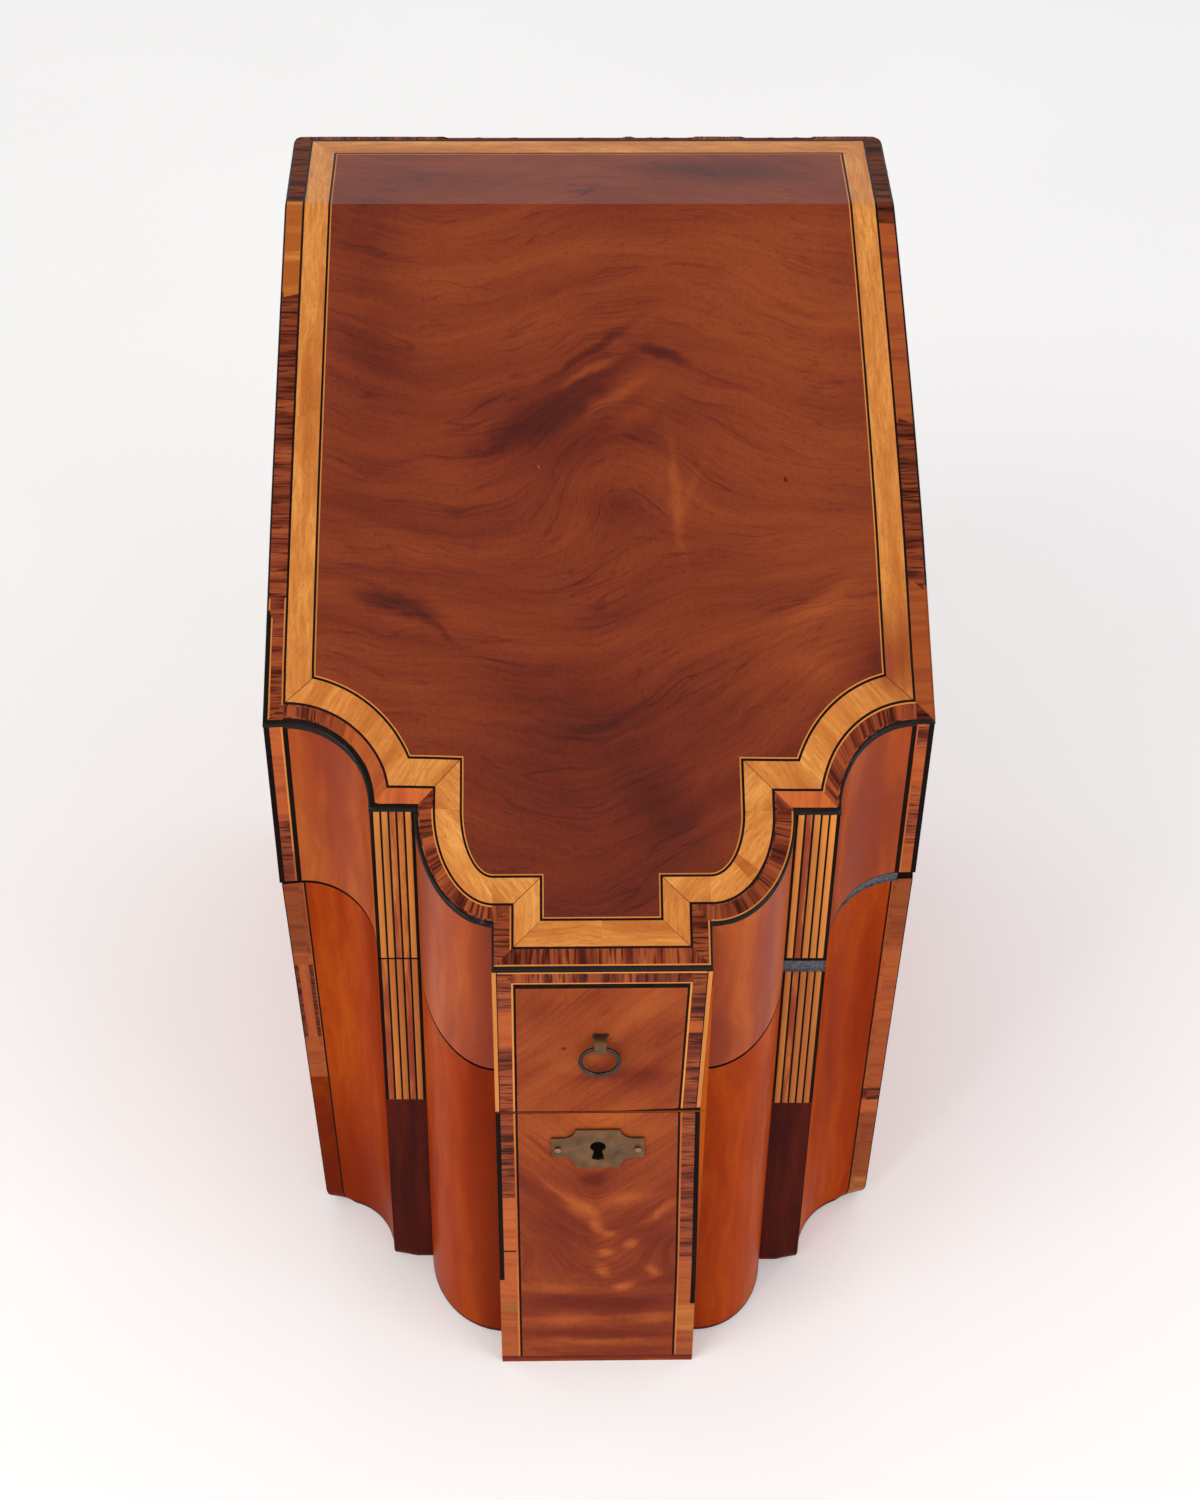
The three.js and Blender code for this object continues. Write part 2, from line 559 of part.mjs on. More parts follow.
// The lid's link plate with its two links, which drop into the lock.
function addLinkPlate(lidCentre) {
  const frame = jointFrame(LINK_Y);
  const low = JOINT_GAP / 2 + LOCK_SIT;
  const plateBox = (spare) => placed(boxAt([-LINK_PLATE_HALF - spare, LINK_PLATE_HALF + spare],
    [LINK_PLATE_US[0] - spare, LINK_PLATE_US[1] + spare], [low - spare, low + LINK_PLATE + spare]), frame);
  let plate = plateBox(0);
  let wood = lidCentre.subtract(plateBox(GLUE));
  for (const x of LINK_XS) {
    const reach = (half, width, bottom, top) =>
      placed(boxAt([x - half, x + half], [-width / 2, width / 2], [bottom, top]), frame);
    const holeLow = LINK_HOLE_N - LINK_HOLE / 2;
    plate = plate.add(reach(LINK_THICKNESS / 2, LINK_WIDTH, -LINK_REACH, low + LINK_PLATE / 2));
    plate = plate.subtract(reach(LINK_THICKNESS, LINK_HOLE, holeLow, holeLow + LINK_HOLE));
  }
  for (const [name, side] of SIDES) {
    const { screw, hole } = makeScrew(HINGE_SCREW_LENGTH, (geometry) =>
      geometry.rotateX(Math.PI).translate(side * LINK_SCREW_X, LINK_SCREW_U, low).applyMatrix4(frame.matrix));
    plate = plate.subtract(hole);
    wood = wood.subtract(hole);
    add(`link_plate_screw_${name}`, screw, brass);
  }
  add('link_plate', plate, brass);
  return wood;
}

// The lock: a front plate bent over at the rim, a cap with the drill pin behind it, and a bolt that slides across.
function addLock(caseCentre) {
  const frame = jointFrame(LINK_Y);
  const plateFront = LOCK_RECESS_Y + GLUE;
  const plateBack = plateFront + LOCK_PLATE;
  const rimZ = (y) => jointZ(y) - JOINT_GAP / 2 - LOCK_SIT;
  const keyhole = facing(keyholeOutline(), plateBack + PAST, LOCK_RECESS_Y - FRONT_Y + 2 * PAST);
  let plate = block([-LOCK_PLATE_HALF, plateFront, LOCK_PLATE_BOTTOM], [LOCK_PLATE_HALF, plateBack, HEIGHT])
    .intersect(layer(() => 0, rimZ))
    .add(placed(boxAt([-LOCK_PLATE_HALF, LOCK_PLATE_HALF], [SELVEDGE_FRONT_U, SELVEDGE_BACK_U],
      [-SELVEDGE - JOINT_GAP / 2, -JOINT_GAP / 2]), frame))
    .subtract(keyhole);
  for (const x of LINK_XS) {
    const halfX = LINK_THICKNESS / 2 + LOCK_CLEARANCE;
    const halfU = LINK_WIDTH / 2 + LOCK_CLEARANCE;
    plate = plate.subtract(placed(boxAt([x - halfX, x + halfX], [-halfU, halfU], LINK_SLOT_NS), frame));
  }
  let wood = caseCentre
    .subtract(block([-LOCK_RECESS_HALF, LOCK_RECESS_Y, LOCK_RECESS_BOTTOM], [LOCK_RECESS_HALF, 0, HEIGHT]))
    .subtract(keyhole);
  for (const [name, side] of SIDES) {
    const { screw, hole } = makeScrew(LOCK_SCREW_LENGTH, (geometry) =>
      geometry.rotateX(-Math.PI / 2).translate(side * LOCK_SCREW_X, plateBack, LOCK_SCREW_Z));
    plate = plate.subtract(hole);
    wood = wood.subtract(hole);
    add(`lock_screw_${name}`, screw, brass);
  }
  add('lock_plate', plate, brass);

  const capFront = plateBack + GLUE;
  const capInner = LOCK_CAP_BACK_Y - LOCK_CAP_WALL;
  const hollowHalf = LOCK_CAP_HALF - LOCK_CAP_WALL;
  const hollowBottom = LOCK_CAP_BOTTOM + LOCK_CAP_WALL;
  const shelfTop = BOLT_BAR_LOW - GLUE;
  let cap = block([-LOCK_CAP_HALF, capFront, LOCK_CAP_BOTTOM], [LOCK_CAP_HALF, LOCK_CAP_BACK_Y, LOCK_CAP_TOP])
    .subtract(block([-hollowHalf, capFront - PAST, hollowBottom], [hollowHalf, capInner, HEIGHT]));
  for (const [, side] of SIDES) {
    const xs = [side * LOCK_SHELF_GAP, side * (hollowHalf + ROOT)].sort((a, b) => a - b);
    cap = cap.add(block([xs[0], capFront, shelfTop - LOCK_CAP_WALL], [xs[1], capInner + ROOT, shelfTop]));
  }
  const drillPin = new THREE.CylinderGeometry(DRILL_PIN_RADIUS, DRILL_PIN_RADIUS, DRILL_PIN_LENGTH, ROUND_SIDES)
    .translate(0, capInner + ROOT - DRILL_PIN_LENGTH / 2, KEYHOLE_Z);
  add('lock_cap', cap.add(toSolid(drillPin)), iron);
  add('lock_bolt', lockBolt(frame), brass);
  return wood;
}

// The sliding bolt: a bar with a notch for the key, and two posts whose nibs pass through the links.
function lockBolt(frame) {
  const nib = new THREE.Vector3(0, 0, LINK_HOLE_N).applyMatrix4(frame.matrix);
  const half = BOLT_NIB / 2;
  const barY = [nib.y - BOLT_THICKNESS / 2, nib.y + BOLT_THICKNESS / 2];
  const talon = block([-BOLT_TALON, barY[0] - PAST, BOLT_BAR_LOW - PAST],
    [0, barY[1] + PAST, BOLT_BAR_LOW + BOLT_TALON_DEPTH]);
  let bolt = block([BOLT_START_X, barY[0], BOLT_BAR_LOW], [BOLT_END_X, barY[1], BOLT_BAR_HIGH]).subtract(talon);
  for (const x of LINK_XS) {
    const post = x - LINK_THICKNESS / 2 - BOLT_GAP - BOLT_NIB_LENGTH - BOLT_POST;
    const nibEnd = post + BOLT_POST + BOLT_NIB_LENGTH;
    bolt = bolt
      .add(block([post, nib.y - half, BOLT_BAR_HIGH - ROOT], [post + BOLT_POST, nib.y + half, nib.z + half]))
      .add(block([post + BOLT_POST - ROOT, nib.y - half, nib.z - half], [nibEnd, nib.y + half, nib.z + half]));
  }
  return bolt;
}

// The staple is a strap bent round in a loop, its two arms let into the lid.
function stapleSolid(spare = 0) {
  const radius = (STAPLE_HIGH - STAPLE_LOW) / 2;
  const centreY = FRONT_Y - STAPLE_OUT + radius;
  const centreZ = (STAPLE_HIGH + STAPLE_LOW) / 2;
  const end = FRONT_Y + STAPLE_IN + spare;
  const bend = (r, from, to) => arc(centreY, centreZ, r, r, from, to, STAPLE_STEPS);
  const outer = radius + spare;
  const inner = radius - STAPLE_STRAP - spare;
  const loop = [
    [end, centreZ - outer], ...bend(outer, -Math.PI / 2, -1.5 * Math.PI), [end, centreZ + outer],
    [end, centreZ + inner], ...bend(inner, -1.5 * Math.PI, -Math.PI / 2), [end, centreZ - inner],
  ];
  return slab(loop, -STAPLE_WIDTH / 2 - spare, STAPLE_WIDTH / 2 + spare);
}

const ringPull = () => new THREE.TorusGeometry(RING_RADIUS, RING_WIRE, WIRE_SIDES, RING_STEPS)
  .rotateX(Math.PI / 2).translate(0, RING_PIVOT_Y, RING_PIVOT_Z - RING_RADIUS);

function addEscutcheon(caseCentre) {
  const back = FRONT_Y - GLUE;
  const keyhole = facing(keyholeOutline(), back + PAST, 2 * PAST);
  let plate = facing(escutcheonOutline(), back, PLATE_THICKNESS).subtract(keyhole);
  let wood = caseCentre;
  for (const [name, side] of SIDES) {
    const hole = toSolid(pinPlace(platePin(SCREW_SPARE), side * PLATE_PIN_X));
    plate = plate.subtract(hole);
    wood = wood.subtract(hole);
    add(`escutcheon_pin_${name}`, toSolid(pinPlace(platePin(), side * PLATE_PIN_X)), brass);
  }
  add('escutcheon', plate, brass);
  return wood;
}

addCase();
addLid();

const caseCentre = column(centrePlan()).intersect(caseLayer());
add('case_centre', addEscutcheon(addLock(caseCentre)), flameMahogany);

const lidCentre = column(centrePlan()).intersect(lidLayer()).subtract(stapleSolid(SCREW_SPARE));
add('lid_centre', addLinkPlate(lidCentre), flameMahogany);
add('ring_staple', stapleSolid(), brass);
add('ring_pull', ringPull(), iron);

const backs = {
  lower: column(backPlan(CASE_HALF_WIDTH)).intersect(caseLayer()),
  upper: column(backPlan(LID_HALF_WIDTH)).intersect(lidLayer()),
};
for (const [name, side] of SIDES) {
  addHinge(`hinge_${name}`, side * HINGE_X, backs);
}
add('case_back', backs.lower, mahogany);
add('lid_back', backs.upper, mahogany);

// The part's origin is the middle of its footprint.
const knifeBox = new THREE.Group();
model.position.y = -CENTRE_Y;
knifeBox.add(model);

export default knifeBox;
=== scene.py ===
"""An old knife box with a serpentine front: veneers, inlays, mounts and stage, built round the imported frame."""

import math
import random

import bmesh
import bpy
from bpy.props import FloatProperty, FloatVectorProperty, IntProperty, PointerProperty
from mathutils import Matrix, Vector, noise


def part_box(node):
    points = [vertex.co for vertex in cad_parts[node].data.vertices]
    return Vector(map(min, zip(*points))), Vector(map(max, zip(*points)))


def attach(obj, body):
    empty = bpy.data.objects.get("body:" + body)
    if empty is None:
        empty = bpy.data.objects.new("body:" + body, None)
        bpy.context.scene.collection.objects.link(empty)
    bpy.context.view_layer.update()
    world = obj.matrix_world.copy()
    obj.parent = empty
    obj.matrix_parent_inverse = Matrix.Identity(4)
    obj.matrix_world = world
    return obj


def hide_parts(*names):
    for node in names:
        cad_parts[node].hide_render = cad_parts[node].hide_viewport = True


bl_info = {
    "name": "Knife Box",
    "version": (1, 0, 0),
    "blender": (4, 5, 0),
    "location": "View3D > Sidebar > Knife Box",
    "description": "Builds the veneers, inlays and metalwork of a sloping knife box",
    "category": "Add Mesh",
}

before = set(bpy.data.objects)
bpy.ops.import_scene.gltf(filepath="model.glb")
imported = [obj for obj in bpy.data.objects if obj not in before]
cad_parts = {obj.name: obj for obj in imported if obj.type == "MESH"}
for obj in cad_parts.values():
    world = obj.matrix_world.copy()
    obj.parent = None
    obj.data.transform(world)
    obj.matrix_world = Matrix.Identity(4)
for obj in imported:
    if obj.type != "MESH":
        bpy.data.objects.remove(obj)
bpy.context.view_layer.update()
MM = 0.001


def low(node):
    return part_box(node)[0]


def high(node):
    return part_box(node)[1]


# The box's main lines, from the frame. Left and right are as seen from the front, which faces -Y.
LID_HALF = high("lid_side_right").x
CASE_HALF = high("case_side_right").x
CORNER_Y = low("lid_side_right").y
BACK_Y = high("case_back").y
FRONT_Y = low("lid_centre").y
PILASTER_Y = low("lid_pilaster_right").y
PILASTER_BACK = high("lid_pilaster_right").y
PILASTER_IN = low("lid_pilaster_right").x
PILASTER_OUT = high("lid_pilaster_right").x
CENTRE_X = high("lid_centre").x
OVOLO_Y = low("lid_ovolo_right").y
TOP_Z = high("field_veneer_flat").z
BREAK_GAP = 0.1 * MM
BREAK_Y = low("field_veneer_flat").y - BREAK_GAP
HOLLOW_RADIUS = CORNER_Y - PILASTER_Y
HOLLOW_X = PILASTER_OUT + HOLLOW_RADIUS
OVOLO_WIDTH = PILASTER_IN - CENTRE_X
OVOLO_DEPTH = PILASTER_Y - OVOLO_Y
SLOPE = 0.505
SLOPE_ANGLE = math.atan(SLOPE)
LID_DEPTH = 73.5 * MM
JOINT_GAP = 0.6 * MM
WALL = 8 * MM
BACK_WALL = 10 * MM
VENEER = 1 * MM
BOARD_TOP = 1.3 * MM
BOARD_UNDER = 9.3 * MM
WALL_DROP = 9.6 * MM

# Insets of the bands round the lid's top, from its edge inwards. The back was trimmed narrower.
STRING = 0.5 * MM
CROSS_INNER = 5.9 * MM
OUTER_BOX_INNER = 6.4 * MM
OUTER_EBONY_INNER = 7.25 * MM
SATIN_INNER = 16 * MM
INNER_EBONY_INNER = 16.85 * MM
INNER_BOX_INNER = 17.3 * MM
BACK_EDGE = 0.4 * MM
BACK_TRIM = 3.2 * MM
FRONT_SHARE = 0.9

# How far the old box has moved out of true: each pilaster at its foot and at its head, right (1) and left (-1),
# and the case's front corners at the base, which lean inwards.
PILASTER_SHIFT = {
    1: ((1.2 * MM, -2.4 * MM), (1.1 * MM, -1.0 * MM)),
    -1: ((-0.6 * MM, 1.2 * MM), (1.6 * MM, 1.9 * MM)),
}
SHIFT_FROM_Y = -60 * MM
SHIFT_RAMP = 35 * MM
SHIFT_TOP = 237 * MM
TAPER = {1: 3.0 * MM, -1: 5.4 * MM}
TAPER_TOP = 186 * MM
CENTRE_LEAN = ((0, 0.0), (60 * MM, 0.4 * MM), (150 * MM, 2.2 * MM), (223 * MM, 0.5 * MM), (400 * MM, 0.5 * MM))
PINCH = {1: 0.027, -1: 0.009}
PINCH_FROM_Y = -20 * MM
PINCH_ABOVE = 100 * MM
REAR_WEAR = {1: 5.0 * MM, -1: 4.0 * MM}
WEAR_REACH = 14 * MM


def lean_at(z):
    """How far the centre block's right edge has moved to the left at a height."""
    for (low_z, low_lean), (high_z, high_lean) in zip(CENTRE_LEAN, CENTRE_LEAN[1:]):
        if z <= high_z:
            return low_lean + (high_lean - low_lean) * (z - low_z) / (high_z - low_z)
    return 0.0


def top_z(y):
    return TOP_Z - SLOPE * max(0.0, BREAK_Y - y)


def joint_z(y):
    return TOP_Z - LID_DEPTH - SLOPE * (BREAK_Y - y)


def srgb(code):
    """A colour written as six hexadecimal digits, as the linear values that shaders use."""
    parts = [int(code[i:i + 2], 16) / 255 for i in (0, 2, 4)]
    return tuple(p / 12.92 if p <= 0.04045 else ((p + 0.055) / 1.055) ** 2.4 for p in parts)


def times(shade, share):
    """A colour made darker or lighter by a share."""
    return tuple(share * c for c in shade)


def shades_of(shade, dark, light):
    """A wood's dark, middle and light colours from its middle one."""
    return times(shade, dark), shade, times(shade, light)


def colour(name, note, code):
    return FloatVectorProperty(name=name, description=note, default=srgb(code), size=3, subtype="COLOR",
                               min=0, max=1)


def length(name, note, value):
    return FloatProperty(name=name, description=note, default=value, unit="LENGTH", subtype="DISTANCE",
                         min=0, precision=5)


class KnifeBoxSizes(bpy.types.PropertyGroup):
    """Sizes of the inlay and the metalwork."""

    fillets: IntProperty(name="Fillets", description="Light strips let into each pilaster", default=5, min=1)
    fillet_width: length("Fillet width", "Width of each strip in a pilaster", 2.0 * MM)
    fillet_pitch: length("Fillet pitch", "Distance from one strip to the next", 2.72 * MM)
    fillet_foot: length("Fillet foot", "Height where the strips end above the base", 97.5 * MM)
    edge_skirt: FloatProperty(name="Edge skirt", description="Depth of the black edge, as a share of the original's",
                              default=1.0, min=0.2, max=2)
    slot_string: length("Slot string", "Width of the light line round each slot", 1.1 * MM)
    ring_wire: length("Ring wire", "Thickness of the ring pull's wire", 1.56 * MM)
    plate_bevel: length("Plate bevel", "Rounding of the escutcheon's edge", 0.18 * MM)


class KnifeBoxColours(bpy.types.PropertyGroup):
    """Colours of the woods and the metals."""

    flame_dark: colour("Flame dark", "Darkest figure of the flame mahogany", "38120b")
    flame_mid: colour("Flame middle", "Body colour of the flame mahogany", "772713")
    flame_light: colour("Flame light", "Brightest figure of the flame mahogany", "aa5522")
    mahogany_dark: colour("Mahogany dark", "Shaded grain of the plain mahogany", "842c08")
    mahogany_mid: colour("Mahogany middle", "Body colour of the plain mahogany", "a24009")
    mahogany_light: colour("Mahogany light", "Bright grain of the plain mahogany", "b85c14")
    satin_dark: colour("Satinwood dark", "Shaded grain of the satinwood", "ac5a1e")
    satin_mid: colour("Satinwood middle", "Body colour of the satinwood", "df9040")
    satin_light: colour("Satinwood light", "Bright grain of the satinwood", "eca553")
    rosewood_dark: colour("Rosewood dark", "Black bars of the crossbanding", "32100b")
    rosewood_mid: colour("Rosewood middle", "Body colour of the crossbanding", "934028")
    rosewood_light: colour("Rosewood light", "Bright grain of the crossbanding", "a5562c")
    crossband: colour("Plain crossband", "Body colour of the plain pieces of crossbanding", "ae5924")
    foot: colour("Pilaster foot", "Dark wood at the foot of the pilasters", "4e1408")
    panel_dark: colour("Panel dark", "Darkest figure of the front panels", "5a1c12")
    panel_mid: colour("Panel middle", "Body colour of the front panels", "82331a")
    panel_light: colour("Panel light", "Brightest figure of the front panels", "b8602a")
    boxwood: colour("Boxwood", "Light strings and fillets", "d4833a")
    ebony: colour("Ebony", "Black strings and edges", "170d0a")
    # This grey also stands for the painted shadow in the open joint.
    dust: colour("Dust", "Grey dirt in the lid joint", "55555c")
    brass: colour("Brass", "Dull brass of the mounts", "7a593c")
    iron: colour("Iron", "Dark metal of the ring", "4a3f38")
    deal: colour("Deal", "Plain softwood inside", "a97a49")
    floor: colour("Floor", "Pale studio floor", "fbfaf9")


def sizes():
    return bpy.context.scene.knife_box_sizes


def colours():
    return bpy.context.scene.knife_box_colours


def settle(x, y, z, body):
    """Where a point of the true box lies on the old one, whose front has moved a little."""
    side = 1 if x > 0 else -1
    out = abs(x)
    share = (out - CENTRE_X) / (LID_HALF - CENTRE_X)
    if 0 < share < 1 and y < SHIFT_FROM_Y:
        weight = math.sin(math.pi * share) * min(1.0, (SHIFT_FROM_Y - y) / SHIFT_RAMP)
        level = z / SHIFT_TOP
        foot, head = PILASTER_SHIFT[side]
        x += weight * (foot[0] + (head[0] - foot[0]) * level)
        y += weight * (foot[1] + (head[1] - foot[1]) * level)
    if y < SHIFT_FROM_Y and x < PILASTER_IN:
        share = (x + CENTRE_X) / (2 * CENTRE_X) if x < CENTRE_X else (PILASTER_IN - x) / (PILASTER_IN - CENTRE_X)
        x -= lean_at(z) * max(0.0, share) * min(1.0, (SHIFT_FROM_Y - y) / SHIFT_RAMP)
    if y > PINCH_FROM_Y and z > PINCH_ABOVE:
        back = min(1.0, (y - PINCH_FROM_Y) / (BREAK_Y - PINCH_FROM_Y))
        x *= 1 - PINCH[side] * back ** 1.5 * min(1.0, (z - PINCH_ABOVE) / PINCH_ABOVE)
    if body == "lid":
        radius = REAR_WEAR[side] * min(1.0, max(0.02, (z - TOP_Z + WEAR_REACH) / WEAR_REACH))
        corner = Vector((LID_HALF * (1 - PINCH[side]) - radius, BACK_Y - radius))
        over = Vector((abs(x), y)) - corner
        if over.x > 0 and over.y > 0 and over.length > radius:
            over *= radius / over.length
            x = side * (corner.x + over.x)
            y = BACK_Y - radius + over.y
    if body == "carcase" and out > PILASTER_OUT:
        reach = (out - PILASTER_OUT) / (CASE_HALF - PILASTER_OUT)
        depth = min(1.0, max(0.0, (BACK_Y - BACK_WALL - y) / (BACK_Y - BACK_WALL - CORNER_Y)))
        x -= side * reach * depth * TAPER[side] * max(0.0, 1 - z / TAPER_TOP)
    return x, y, z


# Lines of the plan.

def arc(centre, radii, start, end, steps):
    angles = [start + (end - start) * share for share in (shares(steps) if isinstance(steps, int) else steps)]
    return [(centre[0] + radii[0] * math.cos(a), centre[1] + radii[1] * math.sin(a)) for a in angles]


def between(a, b, places):
    return [(a[0] + (b[0] - a[0]) * t, a[1] + (b[1] - a[1]) * t) for t in places]


def shares(steps):
    return [i / steps for i in range(steps + 1)]


def shares_at(distances, whole, steps):
    """Places along a stretch: some at given distances, and the rest of it in even steps."""
    rest = whole - distances[-1]
    return [d / whole for d in distances] + [(distances[-1] + rest * i / steps) / whole for i in range(1, steps + 1)]


# Distances of the upright strings: on the stiles from the corner and on into the hollow, on the centre block from
# its edge. SEAM is the width of a dark line where two pieces of the satinwood meet.
SEAM = 0.28 * MM
STILE_LINES = [0, 0.4 * MM, 1.9 * MM, 5.6 * MM, 6.2 * MM]
HOLLOW_LINES = [0, SEAM, 1.4 * MM, 1.8 * MM, 2.5 * MM]
CENTRE_LINES = [0, SEAM, 1.4 * MM, 1.75 * MM, 6.4 * MM, 7.05 * MM, 7.9 * MM]
STILE_WIDTH = LID_HALF - HOLLOW_X
HOLLOW_SHARES = shares_at([2 / math.pi * math.asin(d / HOLLOW_RADIUS) for d in HOLLOW_LINES], 1, 30)
OVOLO_SEAM = 0.008
OVOLO_SHARES = shares_at([0, OVOLO_SEAM], 1, 36)
PILASTER_SEAM = 0.985
STEPS = {
    "back": shares(58),
    "back_end": shares(5),
    "side_flat": shares(22),
    "side_slope": shares(94),
    "stile": shares_at(STILE_LINES, STILE_WIDTH, 1),
    "pilaster": shares(9)[:-1] + [PILASTER_SEAM, 1.0],
    "return": shares_at([0, SEAM], OVOLO_Y - FRONT_Y, 8),
    "front": shares_at(CENTRE_LINES, CENTRE_X, 15),
}


def back_inset(inset):
    return inset if inset <= BACK_EDGE else max(BACK_EDGE, inset - BACK_TRIM)


def right_half(inset, half):
    """The right half of the plan moved inwards by inset, from the middle of the back to the middle of the front."""
    side = half - inset
    back = BACK_Y - back_inset(inset)
    rear = min(back, BACK_Y - BACK_WALL)
    radius = HOLLOW_RADIUS + inset
    start = math.pi / 2 if side > HOLLOW_X else math.pi - math.acos((HOLLOW_X - side) / radius)
    hollow = arc((HOLLOW_X, PILASTER_Y), (radius, radius), start, math.pi - math.asin(inset / radius), HOLLOW_SHARES)
    corner = (side, CORNER_Y + inset) if side > HOLLOW_X else hollow[0]
    width = OVOLO_WIDTH - inset
    depth = OVOLO_DEPTH - inset * FRONT_SHARE
    first = math.asin(min(0.0, inset) / depth)
    last = math.asin(max(0.0, -inset) / width) - math.pi / 2
    ovolo = arc((CENTRE_X, PILASTER_Y), (width, depth), first, last, OVOLO_SHARES)
    fillet = (PILASTER_IN - inset, PILASTER_Y + inset)
    step = (CENTRE_X - inset, OVOLO_Y + inset * FRONT_SHARE)
    nose = (CENTRE_X - inset, FRONT_Y + inset * FRONT_SHARE)
    return [
        ("back", between((0, back), (side, back), STEPS["back"])),
        ("back_end", between((side, back), (side, rear), STEPS["back_end"])),
        ("side_flat", between((side, rear), (side, BREAK_Y), STEPS["side_flat"])),
        ("side_slope", between((side, BREAK_Y), corner, STEPS["side_slope"])),
        ("stile", between(corner, hollow[0], STEPS["stile"])),
        ("hollow", hollow),
        ("pilaster", between(hollow[-1], fillet, STEPS["pilaster"])),
        ("corner", [fillet, ovolo[0]]),
        ("ovolo", ovolo),
        ("link", [ovolo[-1], step]),
        ("return", between(step, nose, STEPS["return"])),
        ("front", between(nose, (0, nose[1]), STEPS["front"])),
    ]


def inner_half(half):
    """The inner faces of the walls, point for point with right_half."""
    inner_x = half - WALL
    stile_y = CORNER_Y + WALL
    radius = HOLLOW_RADIUS + WALL
    cut_y = PILASTER_Y + math.sqrt(radius ** 2 - HOLLOW_RADIUS ** 2)
    ovolo_x = PILASTER_IN - WALL
    found = []
    for name, points in right_half(0, half):
        if name in ("back", "back_end"):
            line = [(min(x, half - 2 * MM - (y - BACK_Y) / 8), BACK_Y - BACK_WALL) for x, y in points]
        elif name in ("side_flat", "side_slope"):
            line = [(inner_x, max(y, stile_y)) for _, y in points]
        elif name == "stile":
            line = between((inner_x, stile_y), (HOLLOW_X, stile_y), STEPS["stile"])
        elif name == "hollow":
            line = arc((HOLLOW_X, PILASTER_Y), (radius, radius), math.pi / 2, math.pi, HOLLOW_SHARES)
            line = [(x, y) if x > PILASTER_OUT else (PILASTER_OUT, cut_y) for x, y in line]
        elif name == "pilaster":
            line = between((PILASTER_OUT, PILASTER_BACK), (ovolo_x, PILASTER_BACK), STEPS["pilaster"])
        elif name == "corner":
            line = [(ovolo_x, PILASTER_BACK)] * 2
        elif name == "ovolo":
            radii = (ovolo_x - CENTRE_X, OVOLO_DEPTH - WALL)
            line = [(ovolo_x, PILASTER_BACK)] + arc((CENTRE_X, PILASTER_Y), radii, 0, -math.pi / 2, OVOLO_SHARES)[1:]
        else:
            line = [(min(x, CENTRE_X - WALL), OVOLO_Y + WALL) for x, _ in points]
        found.append((name, line))
    return found


def whole_loop(halves):
    """The closed loop of points of a right half and its mirror image."""
    right = [p for _, points in halves for p in points[:-1]] + [halves[-1][1][-1]]
    left = [(-x, y) for x, y in reversed(right[1:-1])]
    return right + left


def plan_at(inset, half=LID_HALF):
    """The closed outline of the plan, moved inwards by inset."""
    return whole_loop(right_half(inset, half))


def loop_names():
    """For each gap between points of the loop: its stretch, 1 on the right or -1 on the left, its place in it."""
    right = [(name, 1, i) for name, points in right_half(0, LID_HALF) for i in range(len(points) - 1)]
    return right + [(name, -1, i) for name, _, i in reversed(right)]


GAPS = loop_names()


def gap_run(names, side):
    """The gaps of neighbouring stretches on one side, in the loop's order."""
    return [i for i, (name, where, _) in enumerate(GAPS) if name in names and where == side]


class Cell:
    """One small face of a sweep, between two lines and two neighbouring points of the loop."""

    def __init__(self, label, gap, corners, start, end, width):
        self.label = label
        self.gap = gap
        self.name, self.side, self.place = GAPS[gap]
        self.corners = corners
        self.middle = sum(corners, Vector()) / 4
        self.start = start
        self.end = end
        self.width = width

    def upright(self):
        """Flat coordinates for grain that runs up the wall."""
        return [(self.start if i in (0, 3) else self.end, c.z) for i, c in enumerate(self.corners)]

    def crosswise(self):
        """Flat coordinates for grain that runs across the wall."""
        return [(v, u) for u, v in self.upright()]

    def on_path(self, along):
        """Flat coordinates that follow the loop, with the grain along it or across it."""
        flat = [(self.start, 0), (self.end, 0), (self.end, self.width), (self.start, self.width)]
        return [(v, u) for u, v in flat] if along else flat


class Pile:
    """Faces gathered for one mesh. Each has its finish, its flat coordinates in metres and its tone."""

    def __init__(self):
        self.corners = []
        self.faces = []

    def add(self, corners, finish, flat, tone=0.0):
        kept = [i for i, c in enumerate(corners) if (Vector(c) - Vector(corners[i - 1])).length > 1e-7]
        if len(kept) > 2:
            start = len(self.corners)
            self.corners += [corners[i] for i in kept]
            self.faces.append((list(range(start, start + len(kept))), finish, [flat[i] for i in kept], tone))

    def build(self, name, body, slot, *nodes, smooth=30):
        mesh = bpy.data.meshes.new(name)
        mesh.from_pydata([settle(*c, body) for c in self.corners], [], [face[0] for face in self.faces])
        used = list(dict.fromkeys(face[1] for face in self.faces))
        for finish in used:
            mesh.materials.append(bpy.data.materials[finish])
        layer = mesh.uv_layers.new(name="flat")
        tone = mesh.attributes.new("tone", "FLOAT", "FACE")
        for polygon, (_, finish, flat, shade) in zip(mesh.polygons, self.faces):
            polygon.material_index = used.index(finish)
            tone.data[polygon.index].value = shade
            for loop_index, place in zip(polygon.loop_indices, flat):
                layer.data[loop_index].uv = place
        finished(name, mesh, body, slot, *nodes, smooth=smooth)


def in_scene(name, data):
    made = bpy.data.objects.new(name, data)
    bpy.context.scene.collection.objects.link(made)
    return made


